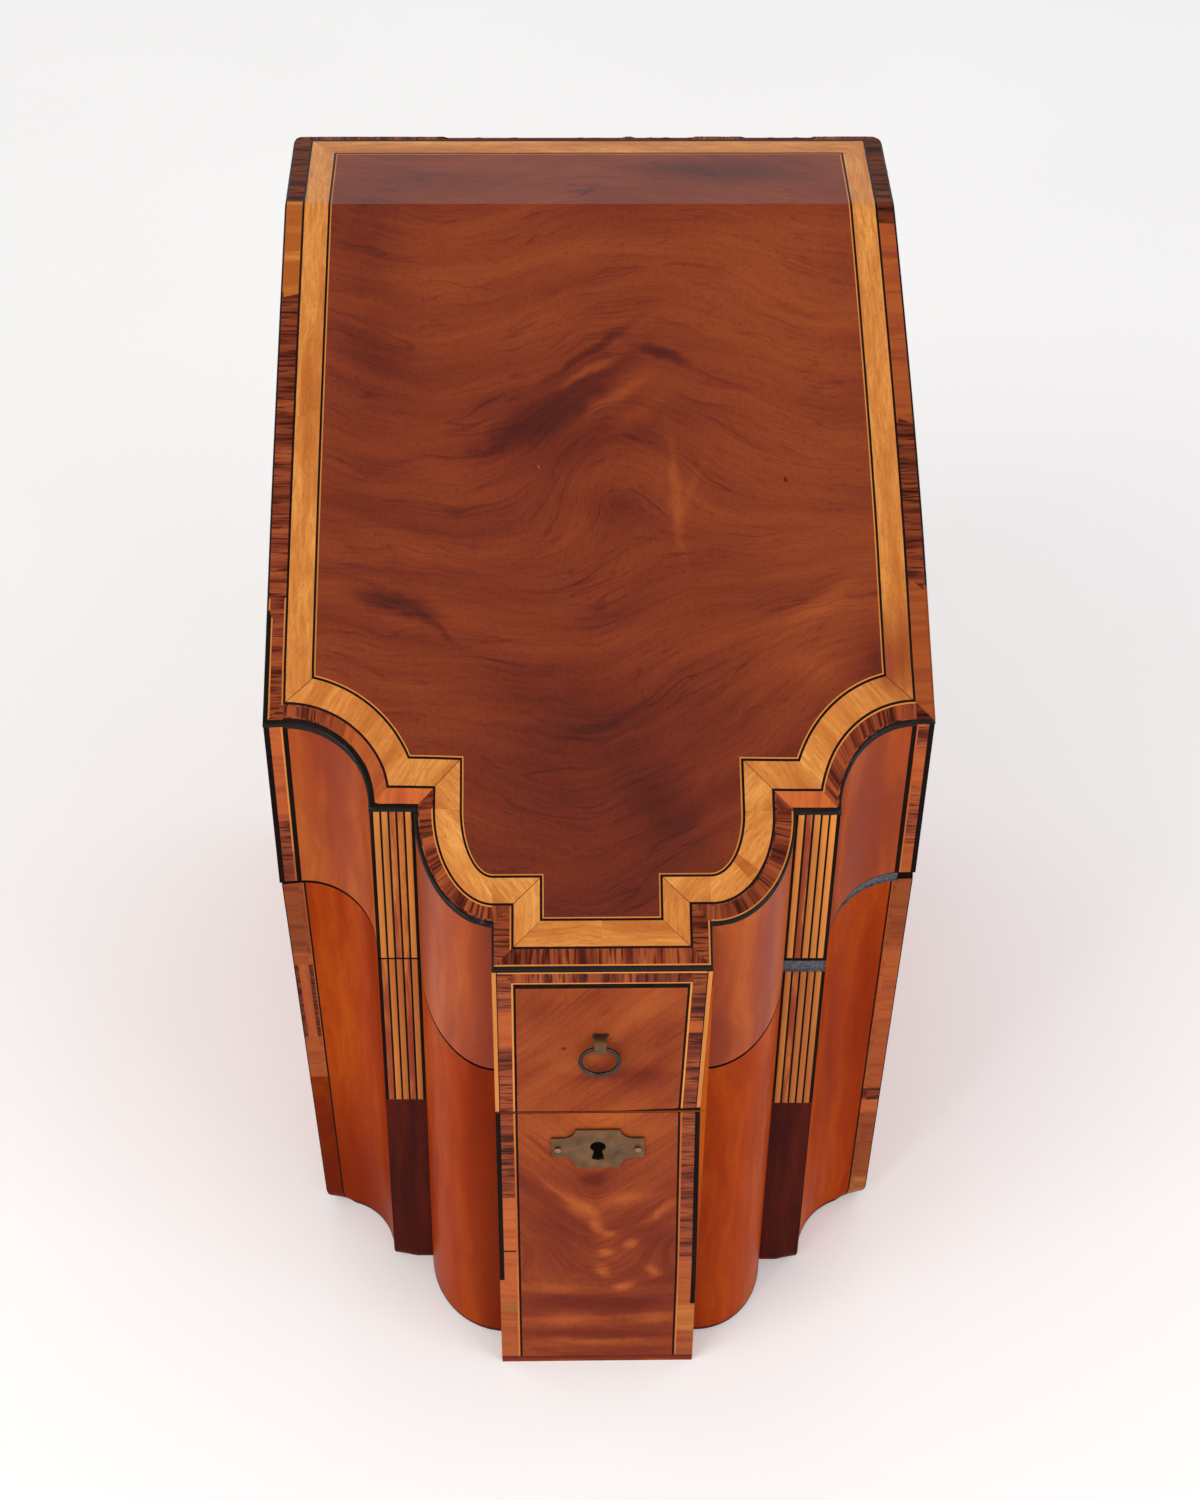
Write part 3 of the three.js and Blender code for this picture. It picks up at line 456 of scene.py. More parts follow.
def plain_mesh(name, carrier):
    """The carrier's shape as a plain mesh. The carrier itself is removed."""
    graph = bpy.context.evaluated_depsgraph_get()
    mesh = bpy.data.meshes.new_from_object(carrier.evaluated_get(graph), depsgraph=graph)
    mesh.name = name
    bpy.data.objects.remove(carrier)
    return mesh


def settle_mesh(mesh, body):
    for vertex in mesh.vertices:
        vertex.co = settle(*vertex.co, body)


def finished(name, mesh, body, slot, *nodes, smooth=30):
    """Makes the mesh one closed skin with its faces outwards, and puts it in the scene on its body."""
    work = bmesh.new()
    work.from_mesh(mesh)
    bmesh.ops.remove_doubles(work, verts=work.verts, dist=2e-6)
    bmesh.ops.dissolve_degenerate(work, edges=work.edges, dist=1e-7)
    bmesh.ops.recalc_face_normals(work, faces=work.faces)
    work.to_mesh(mesh)
    work.free()
    mesh.polygons.foreach_set("use_smooth", [True] * len(mesh.polygons))
    mesh.set_sharp_from_angle(angle=math.radians(smooth))
    piece = in_scene(name, mesh)
    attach(piece, body)
    if nodes:
        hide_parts(*nodes)


PLACED_FINISHES = ("lid_panel", "case_panel")
SIDE_STRETCHES = ("side_flat", "side_slope", "back_end")


def shifted(flat, seed):
    """Flat coordinates moved by a steady amount, so that no two pieces show the same grain."""
    draw = random.Random(seed)
    across = draw.uniform(0, 3)
    along = draw.uniform(0, 3)
    return [(u + across, v + along) for u, v in flat]


def sweep(name, body, slot, nodes, lines, gaps, choose, seed, closed=False, smooth=30):
    """Builds a piece by joining lines that run round the box into one solid.

    Each line is a label for the strip above it and a function that gives (x, y, z) for a point of the loop."""
    pile = Pile()
    count = len(GAPS)
    columns = list(gaps) if closed else list(gaps) + [(gaps[-1] + 1) % count]
    rows = [[Vector(line(i)) for i in columns] for _, line in lines]
    run = [0.0]
    for a, b in zip(rows[0], rows[0][1:] + rows[0][:1]):
        run.append(run[-1] + (b - a).length)
    for r, row in enumerate(rows):
        above = rows[(r + 1) % len(rows)]
        width = (above[0] - row[0]).length
        for j, gap in enumerate(gaps):
            k = (j + 1) % len(columns)
            cell = Cell(lines[r][0], gap, [row[j], row[k], above[k], above[j]], run[j], run[j + 1], width)
            finish, flat, tone = choose(cell)
            stretch = "side" if cell.name in SIDE_STRETCHES else cell.name
            if finish not in PLACED_FINISHES:
                flat = shifted(flat, f"{seed}{finish}{stretch}{cell.side}")
            pile.add(cell.corners, finish, flat, tone)
    if not closed:
        for j in (0, -1):
            end = [row[j] for row in rows]
            pile.add(end if j else end[::-1], "mahogany_ground", [(p.z, p.y) for p in end])
    pile.build(name, body, slot, *nodes, smooth=smooth)


def on_top(corners, angle=0.0):
    """Flat coordinates on the lid's top, with the grain turned by angle from straight back."""
    flat = []
    for p in corners:
        away = (BREAK_Y - p.y) * (math.hypot(1, SLOPE) if p.y < BREAK_Y else 1)
        flat.append((p.x * math.cos(angle) - away * math.sin(angle), p.x * math.sin(angle) + away * math.cos(angle)))
    return flat


# Shader helpers.

def node(tree, kind, inputs=None, **settings):
    made = tree.nodes.new(kind)
    for name, value in settings.items():
        setattr(made, name, value)
    for name, value in (inputs or {}).items():
        if isinstance(value, bpy.types.NodeSocket):
            tree.links.new(value, made.inputs[name])
        else:
            made.inputs[name].default_value = value
    return made


def flow(tree, kind, inputs=None, **settings):
    """The first output of a new node."""
    return node(tree, kind, inputs, **settings).outputs[0]


def maths(tree, operation, a, b=0.0, c=0.0):
    return flow(tree, "ShaderNodeMath", {0: a, 1: b, 2: c}, operation=operation)


def vector_maths(tree, operation, a, b):
    second = 3 if operation == "SCALE" else 1
    made = node(tree, "ShaderNodeVectorMath", {0: a, second: b}, operation=operation)
    return made.outputs["Value" if operation == "DOT_PRODUCT" else "Vector"]


def separate(tree, vector):
    return node(tree, "ShaderNodeSeparateXYZ", {0: vector}).outputs


def combine(tree, x, y, z=0.0):
    return flow(tree, "ShaderNodeCombineXYZ", {0: x, 1: y, 2: z})


def spread(tree, value, from_low, from_high, to_low=0.0, to_high=1.0, kind="LINEAR"):
    sockets = {"Value": value, "From Min": from_low, "From Max": from_high, "To Min": to_low, "To Max": to_high}
    return flow(tree, "ShaderNodeMapRange", sockets, interpolation_type=kind)


def blend(tree, share, a, b):
    a, b = [shade if isinstance(shade, bpy.types.NodeSocket) else (*shade, 1) for shade in (a, b)]
    return node(tree, "ShaderNodeMix", {0: share, 6: a, 7: b}, data_type="RGBA").outputs[2]


def ramp(tree, value, stops):
    made = node(tree, "ShaderNodeValToRGB", {0: value})
    made.color_ramp.interpolation = "B_SPLINE"
    elements = made.color_ramp.elements
    while len(elements) < len(stops):
        elements.new(0.5)
    for element, (place, shade) in zip(elements, stops):
        element.position = place
        element.color = (*shade, 1)
    return made.outputs[0]


def noise_at(tree, vector, scale, detail=2.0, roughness=0.5, distortion=0.0):
    sockets = {"Vector": vector, "Scale": scale, "Detail": detail, "Roughness": roughness, "Distortion": distortion}
    return node(tree, "ShaderNodeTexNoise", sockets).outputs["Fac"]


def stirred(tree, place, scale, detail, reach):
    """A place moved about unevenly, by up to half the reach either way."""
    drift = node(tree, "ShaderNodeTexNoise", {"Vector": place, "Scale": scale, "Detail": detail}).outputs["Color"]
    centred = vector_maths(tree, "SUBTRACT", drift, (0.5, 0.5, 0.5))
    return vector_maths(tree, "ADD", place, vector_maths(tree, "SCALE", centred, reach))


FLOAT = "NodeSocketFloat"
WHOLE = "NodeSocketInt"
VECTOR = "NodeSocketVector"
GEOMETRY = "NodeSocketGeometry"
MATERIAL = "NodeSocketMaterial"


def new_group(name, kind, inputs, outputs):
    """A node group with named sockets: inputs as (name, kind), some with a value, and outputs as (name, kind)."""
    group = bpy.data.node_groups.new(name, kind)
    for label, sort, *value in inputs:
        socket = group.interface.new_socket(name=label, in_out="INPUT", socket_type=sort)
        if value:
            socket.default_value = value[0]
    for label, sort in outputs:
        group.interface.new_socket(name=label, in_out="OUTPUT", socket_type=sort)
    return group, group.nodes.new("NodeGroupInput").outputs, group.nodes.new("NodeGroupOutput").inputs


def placed_group(tree, name, inputs):
    return node(tree, "ShaderNodeGroup", inputs, node_tree=bpy.data.node_groups[name]).outputs


def add_relief(tree, shader, height, distance, strength):
    bump = node(tree, "ShaderNodeBump", {"Height": height, "Distance": distance, "Strength": strength})
    tree.links.new(bump.outputs[0], shader.inputs["Normal"])


def make_grain_group():
    """Grain along the vector's Y: broad figure, fine streaks, short dark pores and black bars."""
    group, given, result = new_group(
        "wood_grain", "ShaderNodeTree",
        [("Vector", VECTOR), ("Scale", FLOAT, 60.0), ("Stretch", FLOAT, 10.0), ("Wave", FLOAT, 0.002),
         ("Bar scale", FLOAT, 800.0)],
        [("Figure", FLOAT), ("Streaks", FLOAT), ("Pores", FLOAT), ("Bars", FLOAT)])
    parts = separate(group, stirred(group, given["Vector"], 28.0, 1.0, given["Wave"]))

    def drawn_out(stretch):
        return combine(group, parts[0], maths(group, "DIVIDE", parts[1], stretch), parts[2])

    drawn = drawn_out(given["Stretch"])
    group.links.new(noise_at(group, drawn, given["Scale"], 3.0, 0.55), result["Figure"])
    streaks = noise_at(group, drawn, maths(group, "MULTIPLY", given["Scale"], 9.0), 4.0, 0.62)
    group.links.new(spread(group, streaks, 0.3, 0.7), result["Streaks"])
    pores = noise_at(group, drawn_out(9.0), 3400.0, 1.0, 0.5)
    group.links.new(spread(group, pores, 0.6, 0.72), result["Pores"])
    bars = noise_at(group, drawn_out(14.0), given["Bar scale"], 2.0, 0.5)
    group.links.new(spread(group, bars, 0.52, 0.62), result["Bars"])


def make_patch_group():
    """An oval mask at a place, turned by an angle. A higher hardness gives it a flatter middle and a crisper rim."""
    group, given, result = new_group(
        "placed_patch", "ShaderNodeTree",
        [("Vector", VECTOR), ("Place", VECTOR, (0, 0, 0)), ("Turn", FLOAT, 0.0), ("Reach", VECTOR, (1, 1, 1)),
         ("Hardness", FLOAT, 1.0)],
        [("Mask", FLOAT)])
    away = vector_maths(group, "SUBTRACT", given["Vector"], given["Place"])
    turned = node(group, "ShaderNodeVectorRotate", {"Vector": away, "Angle": given["Turn"]}, rotation_type="Z_AXIS")
    scaled = vector_maths(group, "DIVIDE", turned.outputs[0], given["Reach"])
    square = vector_maths(group, "DOT_PRODUCT", scaled, scaled)
    steep = maths(group, "POWER", square, given["Hardness"])
    group.links.new(maths(group, "EXPONENT", maths(group, "MULTIPLY", steep, -1.0)), result["Mask"])


def make_polish_group():
    """Old shellac: how rough it is from place to place, its ripple, and a thin film of dirt."""
    group, given, result = new_group(
        "old_polish", "ShaderNodeTree",
        [("Vector", VECTOR), ("Gloss", FLOAT, 0.25), ("Worn", FLOAT, 0.1)],
        [("Roughness", FLOAT), ("Ripple", FLOAT), ("Dirt", FLOAT)])
    clouds = noise_at(group, given["Vector"], 45.0, 3.0, 0.6)
    scuffs = noise_at(group, given["Vector"], 700.0, 4.0, 0.7)
    rough = maths(group, "MULTIPLY_ADD", spread(group, clouds, 0.35, 0.75), given["Worn"], given["Gloss"])
    marks = maths(group, "MULTIPLY", spread(group, scuffs, 0.55, 0.75), given["Worn"])
    group.links.new(maths(group, "ADD", rough, marks), result["Roughness"])
    ripple = noise_at(group, given["Vector"], 70.0, 2.0, 0.5)
    group.links.new(maths(group, "MULTIPLY_ADD", scuffs, 0.08, ripple), result["Ripple"])
    group.links.new(spread(group, clouds, 0.5, 0.8), result["Dirt"])


def new_material(name):
    material = bpy.data.materials.new(name)
    material.use_nodes = True
    tree = material.node_tree
    shader = tree.nodes["Principled BSDF"]
    return material, tree, shader


def flat_place(tree):
    return flow(tree, "ShaderNodeUVMap", None, uv_map="flat")


def solid_place(tree, turn=(0, 0, 0)):
    """Object coordinates turned so that the grain runs along Y."""
    place = node(tree, "ShaderNodeTexCoord").outputs["Object"]
    return flow(tree, "ShaderNodeMapping", {"Vector": place, "Rotation": turn})


def toned(tree, shade):
    tone = node(tree, "ShaderNodeAttribute", None, attribute_name="tone").outputs["Fac"]
    return flow(tree, "ShaderNodeHueSaturation", {"Color": shade, "Value": maths(tree, "ADD", tone, 1.0)})


def polish(tree, shader, place, gloss, worn, relief, shine, coat):
    """Joins the shellac's roughness and ripple to the shader, with the wood's own relief below it."""
    film = placed_group(tree, "old_polish", {"Vector": place, "Gloss": gloss, "Worn": worn})
    tree.links.new(film["Roughness"], shader.inputs["Roughness"])
    height = maths(tree, "MULTIPLY_ADD", relief, 0.25, film["Ripple"])
    add_relief(tree, shader, height, 0.12 * MM, 0.5)
    shader.inputs["Specular IOR Level"].default_value = shine
    shader.inputs["Coat Weight"].default_value = coat
    shader.inputs["Coat Roughness"].default_value = 0.12
    shader.inputs["Coat IOR"].default_value = 1.4


def wood(name, shades, scale=60.0, stretch=10.0, wave=0.004, streaks=0.3, pores=0.25, bars=0.0, bar_scale=800.0,
         gloss=0.3, worn=0.1, shine=0.04, coat=0.0, limits=(0.3, 0.7), turn=None, stains_and_shade=()):
    """A polished wood whose grain runs along the flat coordinates' second axis, or along a turned axis.

    Each stain, or patch of painted shade, is its place and reach in the part's own coordinates, and its colour."""
    _, tree, shader = new_material(name)
    place = flat_place(tree) if turn is None else solid_place(tree, turn)
    grain = placed_group(tree, "wood_grain", {
        "Vector": place, "Scale": scale, "Stretch": stretch, "Wave": wave, "Bar scale": bar_scale})
    dark, mid, light = shades
    figure = ramp(tree, grain["Figure"], [(limits[0], dark), (sum(limits) / 2, mid), (limits[1], light)])
    streaked = blend(tree, maths(tree, "MULTIPLY", grain["Streaks"], streaks), figure, dark)
    pored = blend(tree, maths(tree, "MULTIPLY", grain["Pores"], pores), streaked, times(dark, 0.35))
    barred = blend(tree, maths(tree, "MULTIPLY", grain["Bars"], bars), pored, times(dark, 0.6))
    # Each mark blends towards its colour: a real stain, or painted shade.
    for where, reach, shade in stains_and_shade:
        spot = placed_group(tree, "placed_patch", {"Vector": solid_place(tree), "Place": where, "Reach": reach,
                                                   "Hardness": 1.6})
        barred = blend(tree, maths(tree, "MULTIPLY", spot["Mask"], 0.85), barred, shade)
    tree.links.new(toned(tree, barred), shader.inputs["Base Color"])
    polish(tree, shader, place, gloss, worn, grain["Streaks"], shine, coat)


def figured(name, make_level, patches, shades, broad=0.4, fine=0.4, base=0.3, lines=0.2, warp=0.022, shine=0.04,
            coat=0.0):
    """Crotch mahogany. Its stripes follow lines of equal level, and patches lighten or darken it at their places.

    Each patch is across, along, reach along itself, reach across itself, turn in degrees, strength, hardness."""
    _, tree, shader = new_material(name)
    place = flat_place(tree)
    ragged = stirred(tree, place, 90.0, 4.0, RAGGED)
    across, along, _ = separate(tree, stirred(tree, place, 16.0, 3.0, warp))
    level = make_level(tree, across, along)
    wide = noise_at(tree, combine(tree, level, maths(tree, "MULTIPLY", across, 0.25)), 60.0, 3.0, 0.5, 0.3)
    narrow = noise_at(tree, combine(tree, level, maths(tree, "MULTIPLY", across, 0.07)), 420.0, 5.0, 0.7)
    tone = maths(tree, "MULTIPLY_ADD", spread(tree, wide, 0.3, 0.7), broad, base)
    for x, y, long, thick, angle, strength, hardness in patches:
        patch = placed_group(tree, "placed_patch", {
            "Vector": ragged, "Place": (x * MM, y * MM, 0), "Turn": math.radians(angle),
            "Reach": (long * MM, thick * MM, 1), "Hardness": hardness})
        tone = maths(tree, "MULTIPLY_ADD", patch["Mask"], strength, tone)
    tone = maths(tree, "MULTIPLY_ADD", maths(tree, "SUBTRACT", narrow, 0.5), fine, tone)
    for pitch, width, fade in LINE_SETS:
        contour = noise_at(tree, combine(tree, level, maths(tree, "MULTIPLY", across, 0.1)), pitch, 2.0, 0.5)
        near = maths(tree, "ABSOLUTE", maths(tree, "SUBTRACT", contour, 0.5))
        line = spread(tree, near, 0.0, width, 1.0, 0.0)
        faded = maths(tree, "MULTIPLY", line, spread(tree, noise_at(tree, place, fade, 2.0), 0.42, 0.6))
        tone = maths(tree, "MULTIPLY_ADD", faded, -lines, tone)
    fleck = noise_at(tree, combine(tree, maths(tree, "MULTIPLY", level, 0.5), across), 900.0, 2.0, 0.6)
    tone = maths(tree, "MULTIPLY_ADD", maths(tree, "SUBTRACT", fleck, 0.5), 0.16, tone)
    dark, mid, light = shades
    body = ramp(tree, tone, [(0.0, dark), (0.45, mid), (1.0, light)])
    dash = combine(tree, level, maths(tree, "DIVIDE", across, 7.0))
    pores = spread(tree, noise_at(tree, dash, 2600.0, 1.0, 0.5), 0.58, 0.7)
    pored = blend(tree, maths(tree, "MULTIPLY", pores, 0.3), body, times(dark, 0.4))
    tree.links.new(toned(tree, pored), shader.inputs["Base Color"])
    polish(tree, shader, place, 0.3, 0.1, narrow, shine, coat)


# The ink-like lines of the flame: how close they run, how thick they are and the size of the gaps in them.
LINE_SETS = ((75.0, 0.014, 30.0), (130.0, 0.018, 45.0))

# How far the rims of the patches stray, in metres.
RAGGED = 0.007

# Places in the flame of the lid's slope, in mm across and down from the break.
SLOPE_PATCHES = (
    (-13, 83, 33, 7.5, 37, -0.34, 2.0),
    (-3, 63, 20, 1.6, 36, -0.3, 1.5),
    (-3, 70.5, 14, 2.0, 32, 0.42, 1.2),
    (6, 81, 12, 2.2, 32, 0.26, 1.2),
    (12, 90, 16, 4, 40, 0.14, 1.0),
    (25, 64, 10, 2.4, -24, -0.36, 1.5),
    (-40, 103, 9, 1.6, 15, -0.16, 1.5),
    (28, 122, 21, 1.8, 94, 0.26, 1.0),
    (33, 118, 10, 1.6, 70, 0.14, 1.0),
    (-69, 163, 15, 4.0, -20, -0.34, 1.6),
    (-56, 171, 9, 1.4, -42, -0.2, 1.3),
    (80, 161, 17, 4, 36, 0.2, 1.0),
    (70, 176, 30, 12, 30, 0.14, 1.0),
    (60, 130, 44, 22, 10, 0.08, 1.0),
    (97, 186, 7, 15, 10, -0.2, 1.0),
    (78, 58, 26, 72, 0, 0.14, 1.0),
    (-16, 228, 34, 32, 0, -0.14, 1.0),
    (6, 124, 16, 9, 0, -0.15, 1.0),
    (-84, 16, 9, 22, 0, -0.12, 1.0),
    (76, 188, 9, 7, 0, 0.16, 1.0),
    (4, 208, 36, 22, 0, -0.17, 1.0),
    (2, 98, 24, 11, 12, -0.18, 1.3),
    (20, 239, 22, 10, -54, -0.2, 1.0),
    (60, 222, 24, 5, 34, -0.16, 1.0),
    (-32, 104, 18, 14, 30, -0.12, 1.0),
    (30, 22, 70, 16, 0, 0.08, 1.0),
    (-80, 60, 14, 50, 0, -0.12, 1.0),
    (8, 270, 52, 24, 0, -0.2, 1.0),
    (54, 36, 44, 24, 0, 0.12, 1.0),
    (-56, 30, 34, 18, 0, 0.12, 1.0),
    (50, -24, 40, 9, 0, -0.34, 1.3),
    (-72, -18, 22, 8, 0, -0.1, 1.0),
    (-20, -26, 30, 10, 0, 0.1, 1.0),
    (67, 115, 0.9, 0.9, 0, -0.9, 1.5),
    (-20, 108, 0.4, 0.4, 0, 1.2, 1.5),
)
CREST_X = 18 * MM
WAVE_PERIOD = 156 * MM
WAVE_HEIGHT = 9 * MM
KNOT = (7 * MM, 104 * MM)
KNOT_REACH = (25 * MM, 34 * MM)
KNOT_RISE = 26 * MM
FEATHER_X = -4 * MM
FEATHER_TILT = (0.22, 0.6)


def slope_level(tree, across, down):
    """Stripes of the slope: over a crest and round a knot in the upper part, down into a feather below."""
    turn = maths(tree, "MULTIPLY", maths(tree, "SUBTRACT", across, CREST_X), 2 * math.pi / WAVE_PERIOD)
    crest = maths(tree, "MULTIPLY", maths(tree, "COSINE", turn), WAVE_HEIGHT)
    knot_x = maths(tree, "DIVIDE", maths(tree, "SUBTRACT", across, KNOT[0]), KNOT_REACH[0])
    knot_y = maths(tree, "DIVIDE", maths(tree, "SUBTRACT", down, KNOT[1]), KNOT_REACH[1])
    away = maths(tree, "MULTIPLY_ADD", knot_x, knot_x, maths(tree, "MULTIPLY", knot_y, knot_y))
    knot = maths(tree, "MULTIPLY", maths(tree, "EXPONENT", maths(tree, "MULTIPLY", away, -1.0)), KNOT_RISE)
    upper = maths(tree, "ADD", crest, knot)
    aside = maths(tree, "SUBTRACT", across, FEATHER_X)
    spine = maths(tree, "SQRT", maths(tree, "MULTIPLY_ADD", aside, aside, (9 * MM) ** 2))
    left, right = FEATHER_TILT
    lean = maths(tree, "MULTIPLY", aside, (right - left) / 2)
    feather = maths(tree, "MULTIPLY_ADD", spine, (right + left) / 2, lean)
    lower = spread(tree, down, 110 * MM, 190 * MM, 0.0, 1.0, "SMOOTHSTEP")
    rise = maths(tree, "MULTIPLY_ADD", maths(tree, "SUBTRACT", feather, upper), lower, upper)
    return maths(tree, "ADD", down, rise)


# Places in the case's front panel, in mm across and up from the base.
CASE_PATCHES = (
    (-2, 112.6, 5, 4.4, 0, -0.34, 1.6),
    (-16.5, 107, 7, 1.6, 48, 0.24, 1.0),
    (-7, 96.5, 8.5, 3.4, 50, 0.46, 1.2),
    (0, 84, 6.5, 2.6, 72, 0.42, 1.0),
    (11, 101, 10, 3.6, -12, 0.3, 1.0),
    (22, 92, 8, 1.7, -42, 0.4, 1.0),
    (25, 97, 6, 1.2, -42, 0.24, 1.0),
    (4.1, 79.9, 2.6, 2.3, 0, 0.4, 1.3),
    (11.7, 74.4, 3.4, 1.8, -50, 0.44, 1.3),
    (3.2, 68.6, 2.7, 2.5, 0, 0.48, 1.3),
    (1.4, 57.7, 4, 2.6, 60, 0.38, 1.2),
    (21, 58, 4, 2.5, 50, 0.4, 1.2),
    (9.8, 48.7, 4.4, 2.6, -25, 0.52, 1.3),
    (-17, 72, 13, 22, 0, -0.2, 1.0),
    (20, 80, 9, 8, 0, -0.18, 1.0),
    (14, 37, 12, 4.6, -15, -0.24, 1.0),
    (-16, 48, 13, 2.6, 8, 0.3, 1.0),
    (-6, 38, 20, 4, 0, -0.22, 1.0),
    (-12, 28, 12, 3, 0, 0.26, 1.0),
    (22, 28, 7, 3, 0, 0.3, 1.0),
    (-4, 18.5, 24, 3.4, 0, -0.2, 1.0),
    (2, 12, 26, 3, 0, 0.36, 1.0),
    (0, 138, 34, 20, 0, 0.34, 1.6),
)


def case_level(tree, across, up):
    """Stripes of the case's panel: a plume that dips towards its middle."""
    spine = maths(tree, "SQRT", maths(tree, "MULTIPLY_ADD", across, across, (4 * MM) ** 2))
    plume = spread(tree, up, 45 * MM, 80 * MM, 0.1, 1.1, "SMOOTHSTEP")
    return maths(tree, "SUBTRACT", up, maths(tree, "MULTIPLY", spine, plume))


# Places in the lid's front panel.
LID_PATCHES = (
    (19, 204, 12, 8, -30, 0.2, 1.0),
    (19, 166, 13, 9, 0, -0.3, 1.0),
    (22, 192, 5, 14, 0, -0.12, 1.0),
    (0, 208, 8, 7, 0, -0.1, 1.0),
    (-20, 203, 10, 9, 0, -0.14, 1.0),
    (-10, 178, 16, 8, 0, 0.1, 1.0),
    (-12.5, 184, 0.9, 0.7, 0, -0.7, 1.5),
    (2, 169, 16, 3, 0, -0.2, 1.0),
)


def lid_level(tree, across, up):
    """Stripes of the lid's panel, which rise to the right."""
    return maths(tree, "SUBTRACT", up, maths(tree, "MULTIPLY", across, 1.1))


def make_metal(name, shade, rough, stain, stain_share):
    """Old metal: dull patches, stains in scattered spots and fine rubbing marks."""
    _, tree, shader = new_material(name)
    place = solid_place(tree)
    clouds = noise_at(tree, place, 160.0, 4.0, 0.6)
    fine = noise_at(tree, place, 1500.0, 3.0, 0.6)
    body = blend(tree, spread(tree, clouds, 0.35, 0.7), shade, times(shade, 0.55))
    spots = maths(tree, "MULTIPLY", spread(tree, noise_at(tree, place, 90.0, 2.0), 0.6, 0.75), stain_share)
    tree.links.new(blend(tree, spots, body, stain), shader.inputs["Base Color"])
    tree.links.new(spread(tree, clouds, 0.3, 0.7, rough, rough + 0.2), shader.inputs["Roughness"])
    tree.links.new(spread(tree, spots, 0.0, 1.0, 0.9, 0.3), shader.inputs["Metallic"])
    add_relief(tree, shader, fine, 0.03 * MM, 0.5)


def make_dust_and_shadow():
    """Grey fluff and dirt, with painted shadow, in the open part of the lid's joint."""
    _, tree, shader = new_material("joint_dust")
    place = solid_place(tree)
    lumps = noise_at(tree, place, 900.0, 5.0, 0.7)
    dark, middle, light = shades_of(colours().dust, 0.25, 2.0)
    body = ramp(tree, lumps, [(0.3, dark), (0.55, middle), (0.75, light)])
    tree.links.new(body, shader.inputs["Base Color"])
    shader.inputs["Roughness"].default_value = 0.85
    add_relief(tree, shader, lumps, 0.3 * MM, 0.8)


# Painted shade on the case's mahogany, at its left front foot and on the left ovolo beside the centre block: place,
# reach, and the share of its darkest colour.
CASE_PAINTED_SHADE = (
    ((-100 * MM, -90 * MM, -5 * MM), (36 * MM, 60 * MM, 66 * MM), 0.9),
    ((-40 * MM, -136 * MM, 60 * MM), (10 * MM, 30 * MM, 130 * MM), 0.8),
)
CASE_TINT = (0.95, 0.74, 0.66)
VERDIGRIS = srgb("3f5a48")
RUST = srgb("2c2420")
UPRIGHT = (math.pi / 2, 0, 0)
SIDEWAYS = (0, 0, math.pi / 2)

# The crossbanding's three woods.
BARRED, PLAIN, PALE = "barred_rosewood", "plain_crossband", "pale_crossband"


